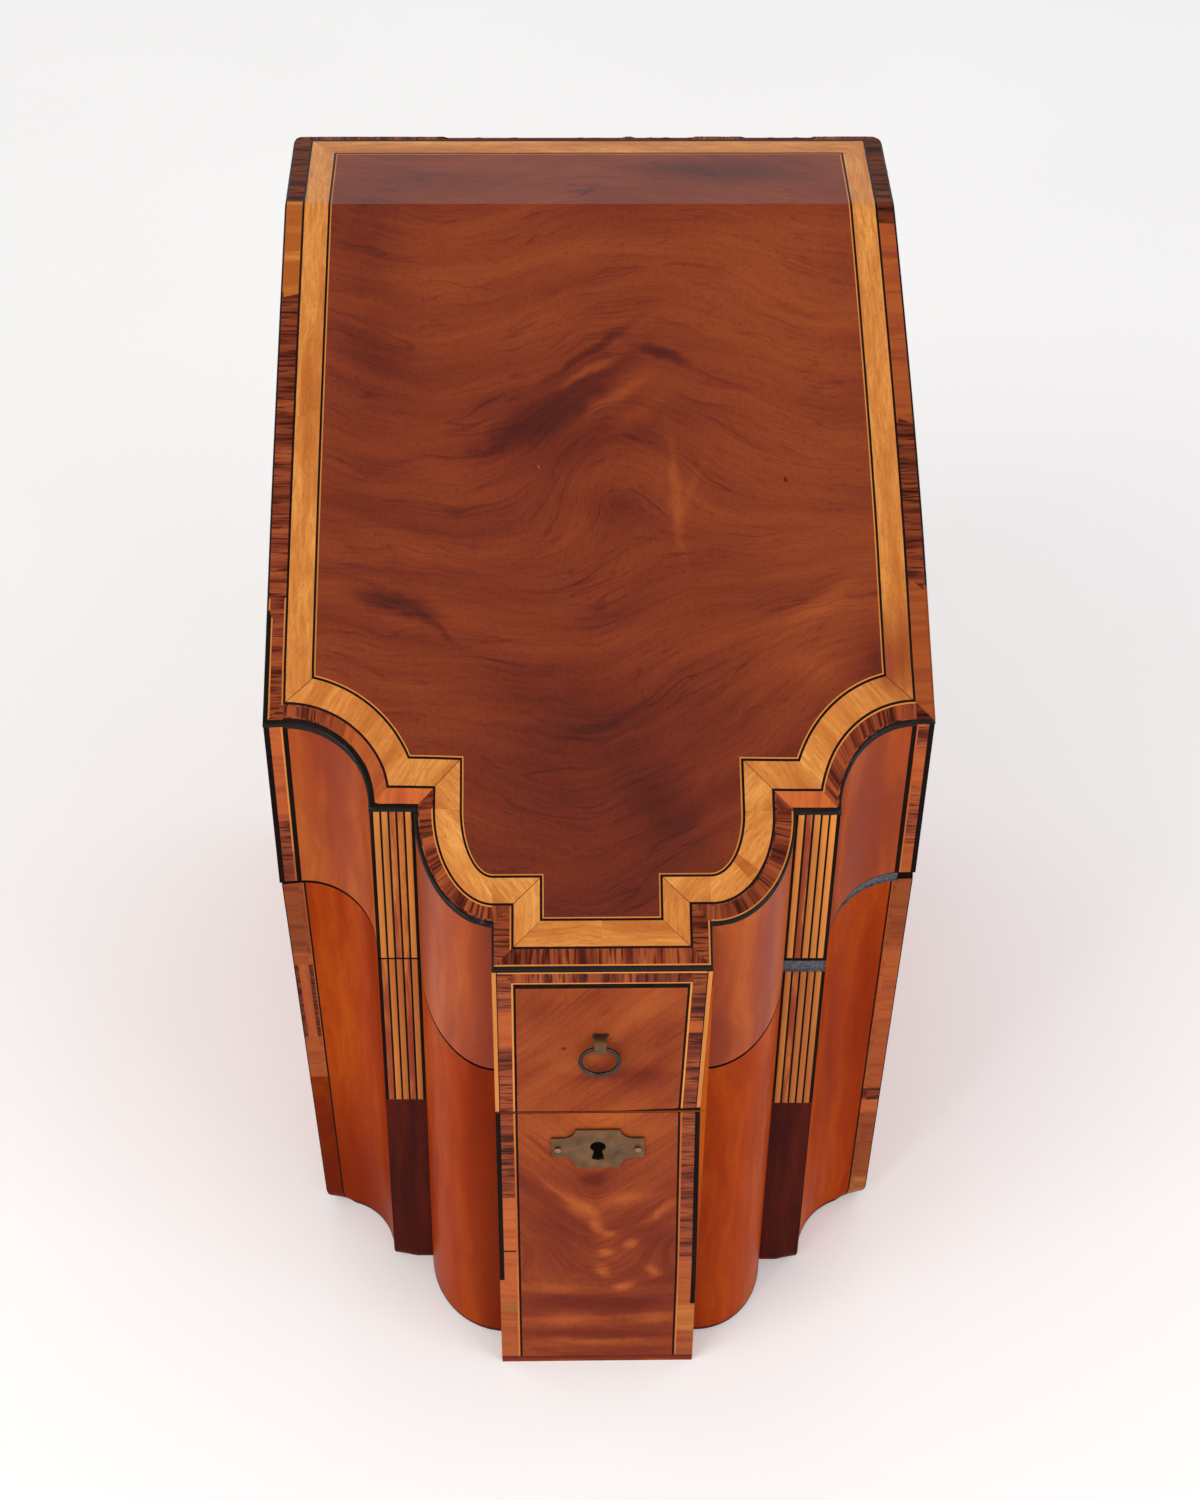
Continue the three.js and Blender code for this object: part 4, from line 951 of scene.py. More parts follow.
def make_materials():
    make_grain_group()
    make_patch_group()
    make_polish_group()
    shade = colours()
    mahogany = (shade.mahogany_dark, shade.mahogany_mid, shade.mahogany_light)
    rosewood = (shade.rosewood_dark, shade.rosewood_mid, shade.rosewood_light)
    satin = (shade.satin_dark, shade.satin_mid, shade.satin_light)
    flame = (shade.flame_dark, shade.flame_mid, shade.flame_light)
    panel = (shade.panel_dark, shade.panel_mid, shade.panel_light)
    box = shades_of(shade.boxwood, 0.6, 1.15)
    black = shades_of(shade.ebony, 0.5, 1.8)
    foot = shades_of(shade.foot, 0.5, 1.5)
    deal = shades_of(shade.deal, 0.55, 1.3)
    figured("flame_field", slope_level, SLOPE_PATCHES, flame, broad=0.22, base=0.35, fine=0.32, lines=0.17,
            shine=0.25, coat=0.06)
    figured("case_panel", case_level, CASE_PATCHES, panel, broad=0.3, base=0.2, fine=0.5, warp=0.01, lines=0.14)
    figured("lid_panel", lid_level, LID_PATCHES, panel, broad=0.26, base=0.4, warp=0.008, lines=0.12)
    redder = [tuple(k * c for k, c in zip(CASE_TINT, one)) for one in mahogany]
    # The case's mahogany carries painted shade at its left front foot and beside the centre block.
    wood("case_mahogany", redder, scale=50, wave=0.01, streaks=0.45, shine=0.02, limits=(0.34, 0.66),
         stains_and_shade=[(where, reach, times(redder[0], share)) for where, reach, share in CASE_PAINTED_SHADE])
    wood("lid_mahogany", mahogany, scale=50, stretch=9, wave=0.012, streaks=0.45, shine=0.15, gloss=0.36,
         limits=(0.35, 0.65))
    wood("satinwood_grain", satin, scale=90, stretch=9, wave=0.006, streaks=0.7, pores=0.4, shine=0.3, coat=0.06,
         stains_and_shade=(((103 * MM, -56 * MM, 0.252), (16 * MM, 17 * MM, 0.04), shade.mahogany_dark),
                 ((99.5 * MM, -61 * MM, 0.25), (3 * MM, 8 * MM, 0.04), shade.rosewood_mid)))
    wood(BARRED, rosewood, scale=200, stretch=14, wave=0.0012, streaks=0.35, bars=0.75, bar_scale=900,
         shine=0.06, limits=(0.34, 0.66))
    wood(PLAIN, (shade.rosewood_mid, shade.crossband, shade.rosewood_light), scale=200, stretch=8,
         wave=0.002, streaks=0.35, bars=0.35, bar_scale=420, shine=0.06)
    wood(PALE, (shade.crossband, shade.satin_dark, shade.satin_mid), scale=200, stretch=8, wave=0.002,
         streaks=0.5, shine=0.15)
    wood("boxwood", box, scale=120, stretch=20, streaks=0.4, pores=0.1, shine=0.15)
    wood("boxwood_upright", box, scale=120, stretch=20, streaks=0.35, pores=0.1, shine=0.08, turn=UPRIGHT)
    wood("red_string", (shade.mahogany_mid, shade.rosewood_light, shade.boxwood), scale=120, stretch=20)
    wood("red_fillet", (shade.rosewood_mid, shade.rosewood_light, shade.boxwood), scale=260, stretch=9,
         streaks=0.5, limits=(0.4, 0.62), turn=UPRIGHT)
    wood("ebony_upright", black, scale=200, stretch=12, pores=0.1, gloss=0.45, worn=0.2, shine=0.03)
    wood("boxwood_worn", (shade.rosewood_light, times(shade.boxwood, 0.75), shade.boxwood), scale=120,
         stretch=20, streaks=0.35, pores=0.1, shine=0.05, turn=UPRIGHT)
    wood("ebony", black, scale=200, stretch=12, pores=0.1, gloss=0.18, worn=0.25, shine=0.12, coat=0.08)
    wood("dark_foot", foot, scale=240, stretch=16, wave=0.002, streaks=0.6)
    wood("keyhole_dark", tuple((0.002 * k, 0.0015 * k, 0.001 * k) for k in (1, 2, 4)), gloss=0.7, shine=0.0)
    wood("mahogany_ground", mahogany, stretch=9, gloss=0.45, turn=UPRIGHT)
    wood("mahogany_board", (shade.flame_dark, shade.flame_mid, shade.mahogany_dark), stretch=9, limits=(0.2, 0.85),
         turn=SIDEWAYS)
    wood("old_deal", deal, scale=90, stretch=14, gloss=0.6, turn=SIDEWAYS)
    make_metal("dull_brass", shade.brass, 0.38, VERDIGRIS, 0.35)
    # The rivets' brass is lightened 2.2 times to paint the glints on their heads.
    make_metal("rivet_brass", tuple(min(1.0, 2.2 * c) for c in shade.brass), 0.25, VERDIGRIS, 0.2)
    make_metal("worn_iron", shade.iron, 0.3, RUST, 0.6)
    make_dust_and_shadow()


# Pieces of the walls.

SIDES = ((1, "right"), (-1, "left"))
WALLS = (
    ("side", ("side_flat", "side_slope", "stile"), "mahogany"),
    ("hollow", ("hollow",), "mahogany"),
    ("pilaster", ("pilaster", "corner"), "inlaid_wood"),
    ("ovolo", ("ovolo",), "mahogany"),
)
RIM = 0.9 * MM
CROWN_DEPTH = 1.0 * MM
JOINT_LINE = 0.3 * MM
# Depth of the open joint's band of grey dust and painted shadow on the right, and its rise on the lid.
DUST_AND_SHADOW_DEPTH = 5 * MM
DUST_AND_SHADOW_RISE = 1.6 * MM
HANG = 3.3 * MM
HANG_FROM_X = 78 * MM
HANG_LENGTH = 90 * MM
JOINT_RECESS = 0.7 * MM
CRESCENT_DEPTH = 3.2 * MM
CRESCENT_START = 0.12
CRESCENT_LENGTH = 0.6
STILE_GAP_SHARE = 0.7
FOOT_ROUND = 1.6 * MM
FOOT_PULL = 0.6
CORNER_PULL = 0.7
CORNER_SPREAD = 1.5
FOOT_DARK = 2.4 * MM
WORN_CORNERS = ((CASE_HALF, CORNER_Y, 9 * MM), (PILASTER_OUT, PILASTER_Y, 5.5 * MM))

# The stiles' crossbanding is in short pieces: height where each starts, its finish and its tone.
CASE_STILES = {
    -1: ((0, "case_mahogany", -0.3), (79, PLAIN, 0.0), (102.4, "inset", 0.0), (142.6, PLAIN, 0.0),
         (149, PLAIN, -0.3)),
    1: ((0, PLAIN, -0.15), (4, PALE, -0.25), (14.8, PLAIN, -0.25), (55.1, PLAIN, 0.25), (62.9, BARRED, 0.1),
        (70, PLAIN, -0.05), (110, PLAIN, 0.08), (150.7, PLAIN, -0.24)),
}
LID_STILES = {
    -1: ((0, BARRED, -0.1), (197.3, BARRED, 0.05), (223.7, PLAIN, 0.2)),
    1: ((0, PLAIN, 0.1), (201.6, BARRED, 0.3), (232.5, PLAIN, 0.15), (243.9, BARRED, 0.2)),
}

# Where a stile's black edge, crossbanding, string and dark line end, from the corner inwards.
CASE_STILE_ENDS = (0.4 * MM, 7.2 * MM, 7.6 * MM, 8.3 * MM)
LID_STILE_ENDS = (1.9 * MM, 5.6 * MM, 6.2 * MM, 7.9 * MM)
CASE_STRING_FOOT = 90 * MM
LIGHT_STRING_FOOT = 197.3 * MM
INSET_ENDS = (1.7 * MM, 5.3 * MM)


def rim_z(x, y):
    """Height of the lid's joint. On the left it hangs a little towards the front corner."""
    across = min(1.0, max(0.0, (-x - HANG_FROM_X) / (CASE_HALF - HANG_FROM_X)))
    back = min(1.0, max(0.0, 1 - (y - CORNER_Y) / HANG_LENGTH))
    return joint_z(y) - HANG * across * back


def rounded_off(distance, radius):
    """How far a rounded edge stands back at a distance from the corner, for that radius."""
    if distance >= radius:
        return 0.0
    return radius - math.sqrt(radius ** 2 - (radius - distance) ** 2)


def worn_foot(x, y, z):
    """The case's bottom edge, a little rounded, and its outer corners more so."""
    side = 1 if x > 0 else -1
    edge = rounded_off(z, FOOT_ROUND) * FOOT_PULL
    x -= side * edge
    y += edge if y < 0 else -edge
    for corner_x, corner_y, radius in WORN_CORNERS:
        near = math.hypot(abs(x) - corner_x, y - corner_y)
        pull = CORNER_PULL * rounded_off(z, radius) * max(0.0, 1 - near / (CORNER_SPREAD * radius))
        x -= side * pull
        y += pull
    return x, y, z


def dust_and_shadow_depth(gap, x):
    """How far the open gap under the lid, painted with dust and shadow, reaches down. It only opens on the right."""
    name, side, _ = GAPS[gap]
    if side > 0 and name in ("pilaster", "corner"):
        return DUST_AND_SHADOW_DEPTH
    if side > 0 and name == "hollow":
        share = ((x - PILASTER_OUT) / HOLLOW_RADIUS - CRESCENT_START) / CRESCENT_LENGTH
        return JOINT_LINE + CRESCENT_DEPTH * math.sin(math.pi / 2 * min(1.0, max(0.0, share)))
    # On the right stile the band is ebony, a painted shadow of the open joint.
    if side > 0 and name == "stile":
        return JOINT_LINE + CRESCENT_DEPTH * STILE_GAP_SHARE
    return JOINT_LINE


def piece_at(pieces, z):
    """The finish and tone of the stile's piece at a height."""
    return [piece for piece in pieces if piece[0] * MM <= z][-1][1:]


def build_walls(part, body, half, lines, choose):
    plan = plan_at(0, half)
    from_corner = [half - (abs(a[0]) + abs(b[0])) / 2 for a, b in zip(plan, plan[1:] + plan[:1])]
    for side, word in SIDES:
        for piece, names, slot in WALLS:
            sweep(f"{part}_{piece}_veneered_{word}", body, slot, [f"{part}_{piece}_{word}"], lines,
                  gap_run(names, side), lambda cell: choose(cell, from_corner[cell.gap]), piece)


def beside_pilaster(cell):
    return cell.name == "hollow" and cell.place == len(HOLLOW_SHARES) - 2


def ebony_face(cell):
    return "ebony_upright", cell.upright(), 0.0


def inner_face(cell):
    return "mahogany_ground", cell.upright(), -0.3


def case_face(cell, from_corner):
    """Finish, flat coordinates and tone of a small face of the case's walls."""
    if cell.label == "inside":
        return inner_face(cell)
    if cell.label == "foot" and cell.middle.z < FOOT_DARK:
        return "dark_foot", cell.upright(), 0.3
    if cell.label == "joint":
        # On the right the open joint is painted grey for dust and shadow; elsewhere it is ebony, and on the right
        # stile that ebony is a painted shadow.
        dusty_and_shaded = cell.side > 0 and cell.name in ("pilaster", "corner", "hollow")
        return ("joint_dust" if dusty_and_shaded else "ebony_upright"), cell.upright(), 0.0
    edge, band, string, dark = CASE_STILE_ENDS
    if cell.name in ("stile", "hollow") and from_corner < dark:
        if from_corner < edge or from_corner > string:
            return ebony_face(cell)
        if from_corner > band and cell.middle.z > CASE_STRING_FOOT:
            return "red_string", cell.upright(), 0.0
        finish, tone = piece_at(CASE_STILES[cell.side], cell.middle.z)
        if finish != "inset":
            return finish, cell.crosswise(), tone
        if from_corner < INSET_ENDS[0] or from_corner > INSET_ENDS[1]:
            return BARRED, cell.crosswise(), -0.35
        return PLAIN, cell.upright(), 0.12
    if cell.name in ("pilaster", "corner") or beside_pilaster(cell):
        finish = "dark_foot" if cell.middle.z < sizes().fillet_foot else "ebony_upright"
        return finish, cell.upright(), 0.0
    return "case_mahogany", cell.upright(), 0.0


# Heights of the case's rows in mm: close together at the foot, then one wherever a piece of veneer ends.
CASE_HEIGHTS = (0, 0.3, 0.7, 1.4, 2.4, 3.8, 5.6, 8, 14.8, 55.1, 62.9, 70, 79, 97.5, 102.4, 110, 142.6, 149, 150.7)


def build_case_walls():
    outer = plan_at(0, CASE_HALF)
    recess = plan_at(JOINT_RECESS, CASE_HALF)
    inner = whole_loop(inner_half(CASE_HALF))
    rim = JOINT_GAP / 2

    def foot_line(z):
        return lambda i: worn_foot(*outer[i], z)

    def under_joint(plan, deep):
        return lambda i: (*plan[i], rim_z(*plan[i]) - rim - (dust_and_shadow_depth(i, outer[i][0]) if deep else 0))

    lines = [("foot", foot_line(z * MM)) for z in CASE_HEIGHTS]
    lines += [("joint", under_joint(outer, True)), ("joint", under_joint(recess, True)),
              ("inside", under_joint(recess, False)), ("inside", under_joint(inner, False)),
              ("inside", lambda i: (*inner[i], 0.0))]
    build_walls("case", "carcase", CASE_HALF, lines, case_face)


def lid_face(cell, from_corner):
    """Finish, flat coordinates and tone of a small face of the lid's walls."""
    if cell.label == "inside":
        return inner_face(cell)
    if cell.label == "joint":
        return ebony_face(cell)
    edge, band, string, dark = LID_STILE_ENDS
    if cell.name in ("stile", "hollow") and from_corner < dark:
        if from_corner < edge or from_corner > string:
            return ebony_face(cell)
        if from_corner > band:
            light = cell.side < 0 and cell.middle.z > LIGHT_STRING_FOOT
            return ("boxwood" if light else "red_string"), cell.upright(), 0.0
        finish, tone = piece_at(LID_STILES[cell.side], cell.middle.z)
        return finish, cell.crosswise(), tone
    if cell.name in ("pilaster", "corner") or beside_pilaster(cell):
        return ebony_face(cell)
    return "lid_mahogany", cell.upright(), 0.0


LID_SHARES = (0.2, 0.4, 0.6, 0.8)


def build_lid_walls():
    outer = plan_at(0)
    thin = plan_at(RIM)
    inner = whole_loop(inner_half(LID_HALF))
    rim = JOINT_GAP / 2

    def above_joint(plan, lift):
        return lambda i: (*plan[i], rim_z(*plan[i]) + rim + lift(i))

    def no_lift(_):
        return 0.0

    # On the right pilaster the lid's dark line is taller: painted shadow over the open joint.
    def dark_line(i):
        name, side, _ = GAPS[i]
        return DUST_AND_SHADOW_RISE if side > 0 and name in ("pilaster", "corner") else JOINT_LINE

    def below_top(plan, drop):
        return lambda i: (*plan[i], top_z(plan[i][1]) - drop)

    def part_way(share):
        def line(i):
            x, y = outer[i]
            bottom = rim_z(x, y) + rim
            return x, y, bottom + share * (top_z(y) - bottom)
        return line

    lines = [("joint", above_joint(outer, no_lift)), ("wall", above_joint(outer, dark_line))]
    lines += [("wall", part_way(share)) for share in LID_SHARES]
    lines += [("inside", below_top(outer, CROWN_DEPTH)), ("inside", below_top(thin, CROWN_DEPTH)),
              ("inside", below_top(thin, WALL_DROP)), ("inside", below_top(inner, WALL_DROP)),
              ("inside", above_joint(inner, no_lift))]
    build_walls("lid", "lid", LID_HALF, lines, lid_face)


# The back boards' columns from each end, their rows, and the drops of the rows at the lid's worn corners.
BACK_COLUMNS = [step * MM for step in (0, 0.8, 1.8, 3.2, 5, 9, 20, 50, 80)]
BACK_ROWS = [z * MM for z in (0, 97.5, 102.4, 110, 142.6, 150.7)]
WORN_ROWS = [drop * MM for drop in (14, 10, 6, 3)]
LEAF_PROUD = 0.12 * MM
SKIN = 0.3 * MM


def back_board(name, half, profile, finish, body, *nodes, end_profile=None, cheek=()):
    """A board across the back from its outline of (y, z) points, with close columns at the worn corners.

    Its two end columns can have a fuller outline, and the cheek is then the face that they show inwards."""
    right = [half - step for step in BACK_COLUMNS]
    columns = [-x for x in right] + right[::-1]
    pile = Pile()
    end_profile = end_profile or profile
    for a, b in zip(columns, columns[1:]):
        used = end_profile if half in (-a, b) else profile
        for (y0, z0), (y1, z1) in zip(used, used[1:] + used[:1]):
            corners = [Vector((a, y0, z0)), Vector((b, y0, z0)), Vector((b, y1, z1)), Vector((a, y1, z1))]
            pile.add(corners, finish, [(c.x, c.z + c.y) for c in corners])
    faces = [(x, end_profile) for x in (columns[0], columns[-1])]
    faces += [(x, cheek) for x in (columns[1], columns[-2]) if cheek]
    for x, outline in faces:
        end = [Vector((x, y, z)) for y, z in outline]
        pile.add(end, finish, [(c.y, c.z) for c in end])
    pile.build(name, body, "mahogany", *nodes)


def build_backs():
    """The boards at the back of the case and the lid. The lid's has a thin skin over the top board's edge."""
    inner = BACK_Y - BACK_WALL
    rim = JOINT_GAP / 2 + LEAF_PROUD
    rows = BACK_ROWS + [joint_z(BACK_Y) - rim]
    front_rows = BACK_ROWS + [joint_z(inner) - rim]
    profile = [(BACK_Y, z) for z in rows] + [(inner, z) for z in front_rows[::-1]]
    back_board("case_back_board", CASE_HALF, profile, "case_mahogany", "carcase", "case_back")
    crown = TOP_Z - CROWN_DEPTH
    under = TOP_Z - WALL_DROP
    rows = [joint_z(BACK_Y) + rim] + [TOP_Z - drop for drop in WORN_ROWS] + [crown]
    face = [(BACK_Y, z) for z in rows]
    foot = (inner, joint_z(inner) + rim)
    skin_top, skin_foot = (BACK_Y - SKIN, crown), (BACK_Y - SKIN, under)
    cheek = [skin_top, (inner, crown), (inner, under), skin_foot]
    back_board("lid_back_facing", LID_HALF, face + [skin_top, skin_foot, (inner, under), foot], "lid_mahogany", "lid",
               "lid_back", end_profile=face + cheek[:3] + [foot], cheek=cheek)


# The centre block's crossbanding: on each side the heights where its pieces start.
CASE_CENTRE = {
    -1: ((0, PLAIN, 0.0), (32.4, PALE, -0.3), (39.4, PLAIN, 0.15), (70.5, PLAIN, 0.25), (101.9, BARRED, 0.0)),
    1: ((0, PLAIN, -0.1), (19.7, PALE, -0.1), (35.8, PLAIN, 0.0), (66.4, BARRED, 0.0)),
}
EBONY_ENDS = {-1: 52.7 * MM, 1: 37 * MM}
LID_CENTRE = {
    -1: ((0, BARRED, 0.1), (184, PLAIN, 0.1), (202, BARRED, 0.1)),
    1: ((0, BARRED, 0.0), (191, PLAIN, 0.0), (197, BARRED, -0.15)),
}
CASE_CENTRE_HEIGHTS = (0, 0.25, 0.7, 1.5, 3.8, 19.7, 32.4, 35.8, 37, 39.4, 52.7, 66.4, 70, 70.8, 101.9, 125)
LID_CENTRE_HEIGHTS = (184, 191, 197, 202)
CENTRE_FOOT = 3.8 * MM
DARK_SEAM = (70 * MM, 70.8 * MM)
LID_TOP_DROPS = ((10.0, "panel_top"), (7.8, "string"), (7.25, "cross"), (2.75, "top_string"), (2.1, "edge"))
PROUD = 0.15 * MM
CENTRE_ROUND = 2.2 * MM
CHIP_FROM_X = 10 * MM
JOINT_CHIP = 1.3 * MM
FACING_BACK = 0.02 * MM


def centre_strip(cell, inset, pieces, panel):
    """The upright strips of the centre block that the case and the lid share."""
    if inset < CENTRE_LINES[4]:
        finish, tone = piece_at(pieces[cell.side], cell.middle.z)
        return finish, cell.crosswise(), tone
    if inset < CENTRE_LINES[5]:
        return ("red_string" if panel == "case_panel" else "boxwood"), cell.upright(), 0.1
    if inset < CENTRE_LINES[6]:
        return ebony_face(cell)
    return panel, [(c.x, c.z) for c in cell.corners], 0.0


def case_centre_face(cell):
    inset = CENTRE_X - abs(cell.middle.x)
    if cell.label == "inside":
        return inner_face(cell)
    if cell.name == "return":
        return "case_mahogany", cell.upright(), -0.1
    if cell.middle.z < CENTRE_FOOT:
        return "dark_foot", cell.crosswise(), 0.9
    if cell.label == "joint":
        return ebony_face(cell)
    if DARK_SEAM[0] < cell.middle.z < DARK_SEAM[1] and inset < CENTRE_LINES[4] and cell.side < 0:
        return ebony_face(cell)
    if inset < CENTRE_LINES[3] and cell.middle.z > EBONY_ENDS[cell.side]:
        return ebony_face(cell)
    return centre_strip(cell, inset, CASE_CENTRE, "case_panel")


def lid_centre_face(cell):
    inset = CENTRE_X - abs(cell.middle.x)
    if cell.label == "inside":
        return inner_face(cell)
    if cell.name == "return":
        return "lid_mahogany", cell.upright(), -0.15
    if cell.label in ("joint", "edge"):
        return ebony_face(cell)
    if inset < CENTRE_LINES[2]:
        return "boxwood", cell.upright(), 0.0
    if inset < CENTRE_LINES[3]:
        return ebony_face(cell)
    if cell.label == "top_string":
        return "boxwood", cell.crosswise(), 0.0
    if cell.label == "cross" and inset >= CENTRE_LINES[4]:
        return BARRED, cell.upright(), 0.1
    if inset >= CENTRE_LINES[5] and cell.label == "panel_top":
        return ebony_face(cell)
    if inset >= CENTRE_LINES[4] and cell.label == "string":
        return "boxwood", cell.crosswise(), 0.0
    return centre_strip(cell, inset, LID_CENTRE, "lid_panel")


def build_centre_faces():
    """The veneered faces of the centre block, laid over its solids."""
    outer = plan_at(-PROUD, CASE_HALF)
    back = plan_at(-FACING_BACK, CASE_HALF)
    gaps = gap_run(("return", "front"), 1) + gap_run(("return", "front"), -1)
    rim = JOINT_GAP / 2
    crown = top_z(FRONT_Y)

    def level(plan, z):
        return lambda i: (*plan[i], z)

    def near_joint(plan, away):
        return lambda i: (*plan[i], joint_z(plan[i][1]) + away)

    def above_chip(i):
        x, y = outer[i]
        share = min(1.0, max(0.0, (x - CHIP_FROM_X) / (CENTRE_X - CHIP_FROM_X)))
        rough = 1 + 0.5 * noise.noise(Vector((x * 400, 0, 0)))
        return x, y, joint_z(y) + rim + JOINT_LINE + JOINT_CHIP * share ** 0.7 * rough

    def foot_level(z):
        edge = CORNER_PULL * rounded_off(z, CENTRE_ROUND)
        return lambda i: (outer[i][0] * (1 - edge / CENTRE_X), outer[i][1] + edge, z)

    lines = [("wall", foot_level(z * MM)) for z in CASE_CENTRE_HEIGHTS]
    lines += [("joint", near_joint(outer, -rim - JOINT_LINE)), ("inside", near_joint(outer, -rim)),
              ("inside", near_joint(back, -rim)), ("inside", level(back, 0.0))]
    sweep("case_centre_facing", "carcase", "flame_mahogany", [], lines, gaps, case_centre_face, "case_centre")

    lines = [("joint", near_joint(outer, rim)), ("wall", above_chip)]
    lines += [("wall", level(outer, z * MM)) for z in LID_CENTRE_HEIGHTS]
    lines += [(label, level(outer, crown - drop * MM)) for drop, label in LID_TOP_DROPS]
    lines += [("inside", level(outer, crown - CROWN_DEPTH)), ("inside", level(back, crown - CROWN_DEPTH)),
              ("inside", near_joint(back, rim))]
    sweep("lid_centre_facing", "lid", "flame_mahogany", [], lines, gaps, lid_centre_face, "lid_centre")


# The lid's top.

SATIN_ANGLES = {"hollow": 32, "pilaster": 32, "corner": -38, "ovolo": -38, "link": -38, "front": 90, "back": 90}
SATIN_TONES = {"hollow": 0.04, "ovolo": 0.02, "front": 0.05, "back": 0.0}
SATIN_SEAMS = {("hollow", 0), ("pilaster", 9), ("return", 0), ("front", 0)}
SATIN_PATCH = range(17, 21)
SATIN_PATCH_ANGLE = math.radians(-50)

# Crossbanding of the lid's long sides, from the front corner backwards: where each piece starts and its look.
SIDE_BANDS = {
    -1: ((-999, BARRED, 0.0), (0.5, BARRED, 0.05), (40.2, BARRED, 0.1), (95, BARRED, -0.1), (151.2, PALE, -0.1),
         (186, BARRED, -0.4)),
    1: ((-999, PLAIN, 0.0), (1, PLAIN, -0.1), (45.7, BARRED, -0.2), (103.2, PLAIN, -0.1), (140, PLAIN, 0.0),
        (176.7, BARRED, -0.45)),
}
SHAPED_BANDS = {("hollow", -1): (PLAIN, 0.1), ("hollow", 1): (BARRED, 0.1),
                ("ovolo", -1): (BARRED, 0.2), ("ovolo", 1): (BARRED, -0.05),
                ("front", -1): (BARRED, 0.15), ("front", 1): (BARRED, 0.15)}
BOX_OUTSIDE = (("front", 1), ("front", -1), ("ovolo", 1), ("return", 1))
BOX_INSIDE = (("ovolo", -1), ("hollow", 1), ("return", -1))
LEFT_BOX_UNTIL = 42 * MM
HOLLOW_BARRED = 14
HOLLOW_SHADED = 17
STRING_OFFSETS = {"edge": 0.0, "string": STRING}

# The stretches of the lid's back that kept their crossbanding, and how deep the others lie bare.
BACK_KEPT = ((-116, -57.1), (12, 17.1), (40.3, 60.8), (88, 116))
BARE_DEPTH = 0.8 * VENEER


def bare_at(name, x):
    """Whether the crossbanding has come off at a place, which it has only along the back."""
    return name == "back" and not any(a * MM < x < b * MM for a, b in BACK_KEPT)


def missing(i, x, outside):
    """How deep the crossbanding is missing at a point of the loop."""
    return BARE_DEPTH if outside and bare_at(GAPS[i][0], x) else 0.0


def band_line(place):
    """The plan's outline at an inset, or the black edge's inner line, or the outer string's."""
    if place in STRING_OFFSETS:
        return edge_line(STRING_OFFSETS[place])
    return plan_at(place)


def ring_band(name, outer_place, inner_place, choose, slot, *nodes):
    """A closed band let into the lid's top between two lines."""
    outer = band_line(outer_place)
    inner = band_line(inner_place)
    outside = outer_place in STRING_OFFSETS

    def at(plan, drop):
        return lambda i: (*plan[i], top_z(plan[i][1]) - max(drop, missing(i, plan[i][0], outside)))

    lines = [("top", at(outer, 0)), ("under", at(inner, 0)), ("under", at(inner, VENEER)),
             ("under", at(outer, VENEER))]
    sweep(name, "lid", slot, nodes, lines, range(len(GAPS)), choose, "top", closed=True)


def plain_band(finish):
    return lambda cell: (finish, cell.on_path(True), 0.0)


def satin_face(cell):
    if (cell.name, cell.place) in SATIN_SEAMS and cell.label == "top":
        return "ebony", cell.on_path(True), 1.5
    tone = SATIN_TONES.get(cell.name, 0.0)
    if cell.name == "ovolo" and cell.side > 0 and cell.place in SATIN_PATCH:
        return PALE, on_top(cell.corners, SATIN_PATCH_ANGLE), 0.0
    angle = math.radians(SATIN_ANGLES.get(cell.name, 0)) * cell.side
    return "satinwood_grain", on_top(cell.corners, angle), tone


GRAIN_TURNS = {"side_slope": 90, "side_flat": 90, "back_end": 90, "stile": 90, "return": 90, "front": 0, "back": 0,
               "pilaster": 0, "link": 0}


def cross_face(cell):
    across = cell.on_path(False)
    if cell.name in GRAIN_TURNS:
        across = on_top(cell.corners, math.radians(GRAIN_TURNS[cell.name]))
    if cell.name == "pilaster":
        return PLAIN, across, 0.5
    if cell.name in ("side_slope", "side_flat", "back_end"):
        finish, tone = piece_at(SIDE_BANDS[cell.side], cell.middle.y - CORNER_Y)
        return finish, across, tone
    if bare_at(cell.name, cell.middle.x):
        return "mahogany_ground", across, -0.5
    finish, tone = SHAPED_BANDS.get((cell.name, cell.side), (BARRED, 0.0))
    if cell.name == "hollow" and cell.side < 0:
        if cell.place < HOLLOW_BARRED:
            finish = BARRED
        elif cell.place < HOLLOW_SHADED:
            tone = -0.3
    return finish, across, tone


def boxed(cell, places):
    near_left_corner = cell.side < 0 and cell.name == "side_slope" and cell.middle.y - CORNER_Y < LEFT_BOX_UNTIL
    return near_left_corner or (cell.name, cell.side) in places


def outside_string(cell):
    return ("boxwood", cell.on_path(True), 0.0) if boxed(cell, BOX_OUTSIDE) else cross_face(cell)


def inside_string(cell):
    if boxed(cell, BOX_INSIDE):
        return "boxwood", cell.on_path(True), 0.0
    return ("ebony", cell.on_path(True), 0.3) if cell.name == "back" else cross_face(cell)


def build_bands():
    ring_band("edge_string", "edge", "string", outside_string, "rosewood")
    ring_band("crossbanding", "string", CROSS_INNER, cross_face, "rosewood", "crossband")
    ring_band("outer_boxwood_string", CROSS_INNER, OUTER_BOX_INNER, inside_string, "satinwood")
    ring_band("outer_ebony_string", OUTER_BOX_INNER, OUTER_EBONY_INNER, plain_band("ebony"), "rosewood")
    ring_band("satinwood_banding", OUTER_EBONY_INNER, SATIN_INNER, satin_face, "satinwood", "satinwood_band")
    ring_band("inner_ebony_string", SATIN_INNER, INNER_EBONY_INNER, plain_band("ebony"), "rosewood")
    ring_band("inner_boxwood_string", INNER_EBONY_INNER, INNER_BOX_INNER, plain_band("boxwood"), "satinwood")


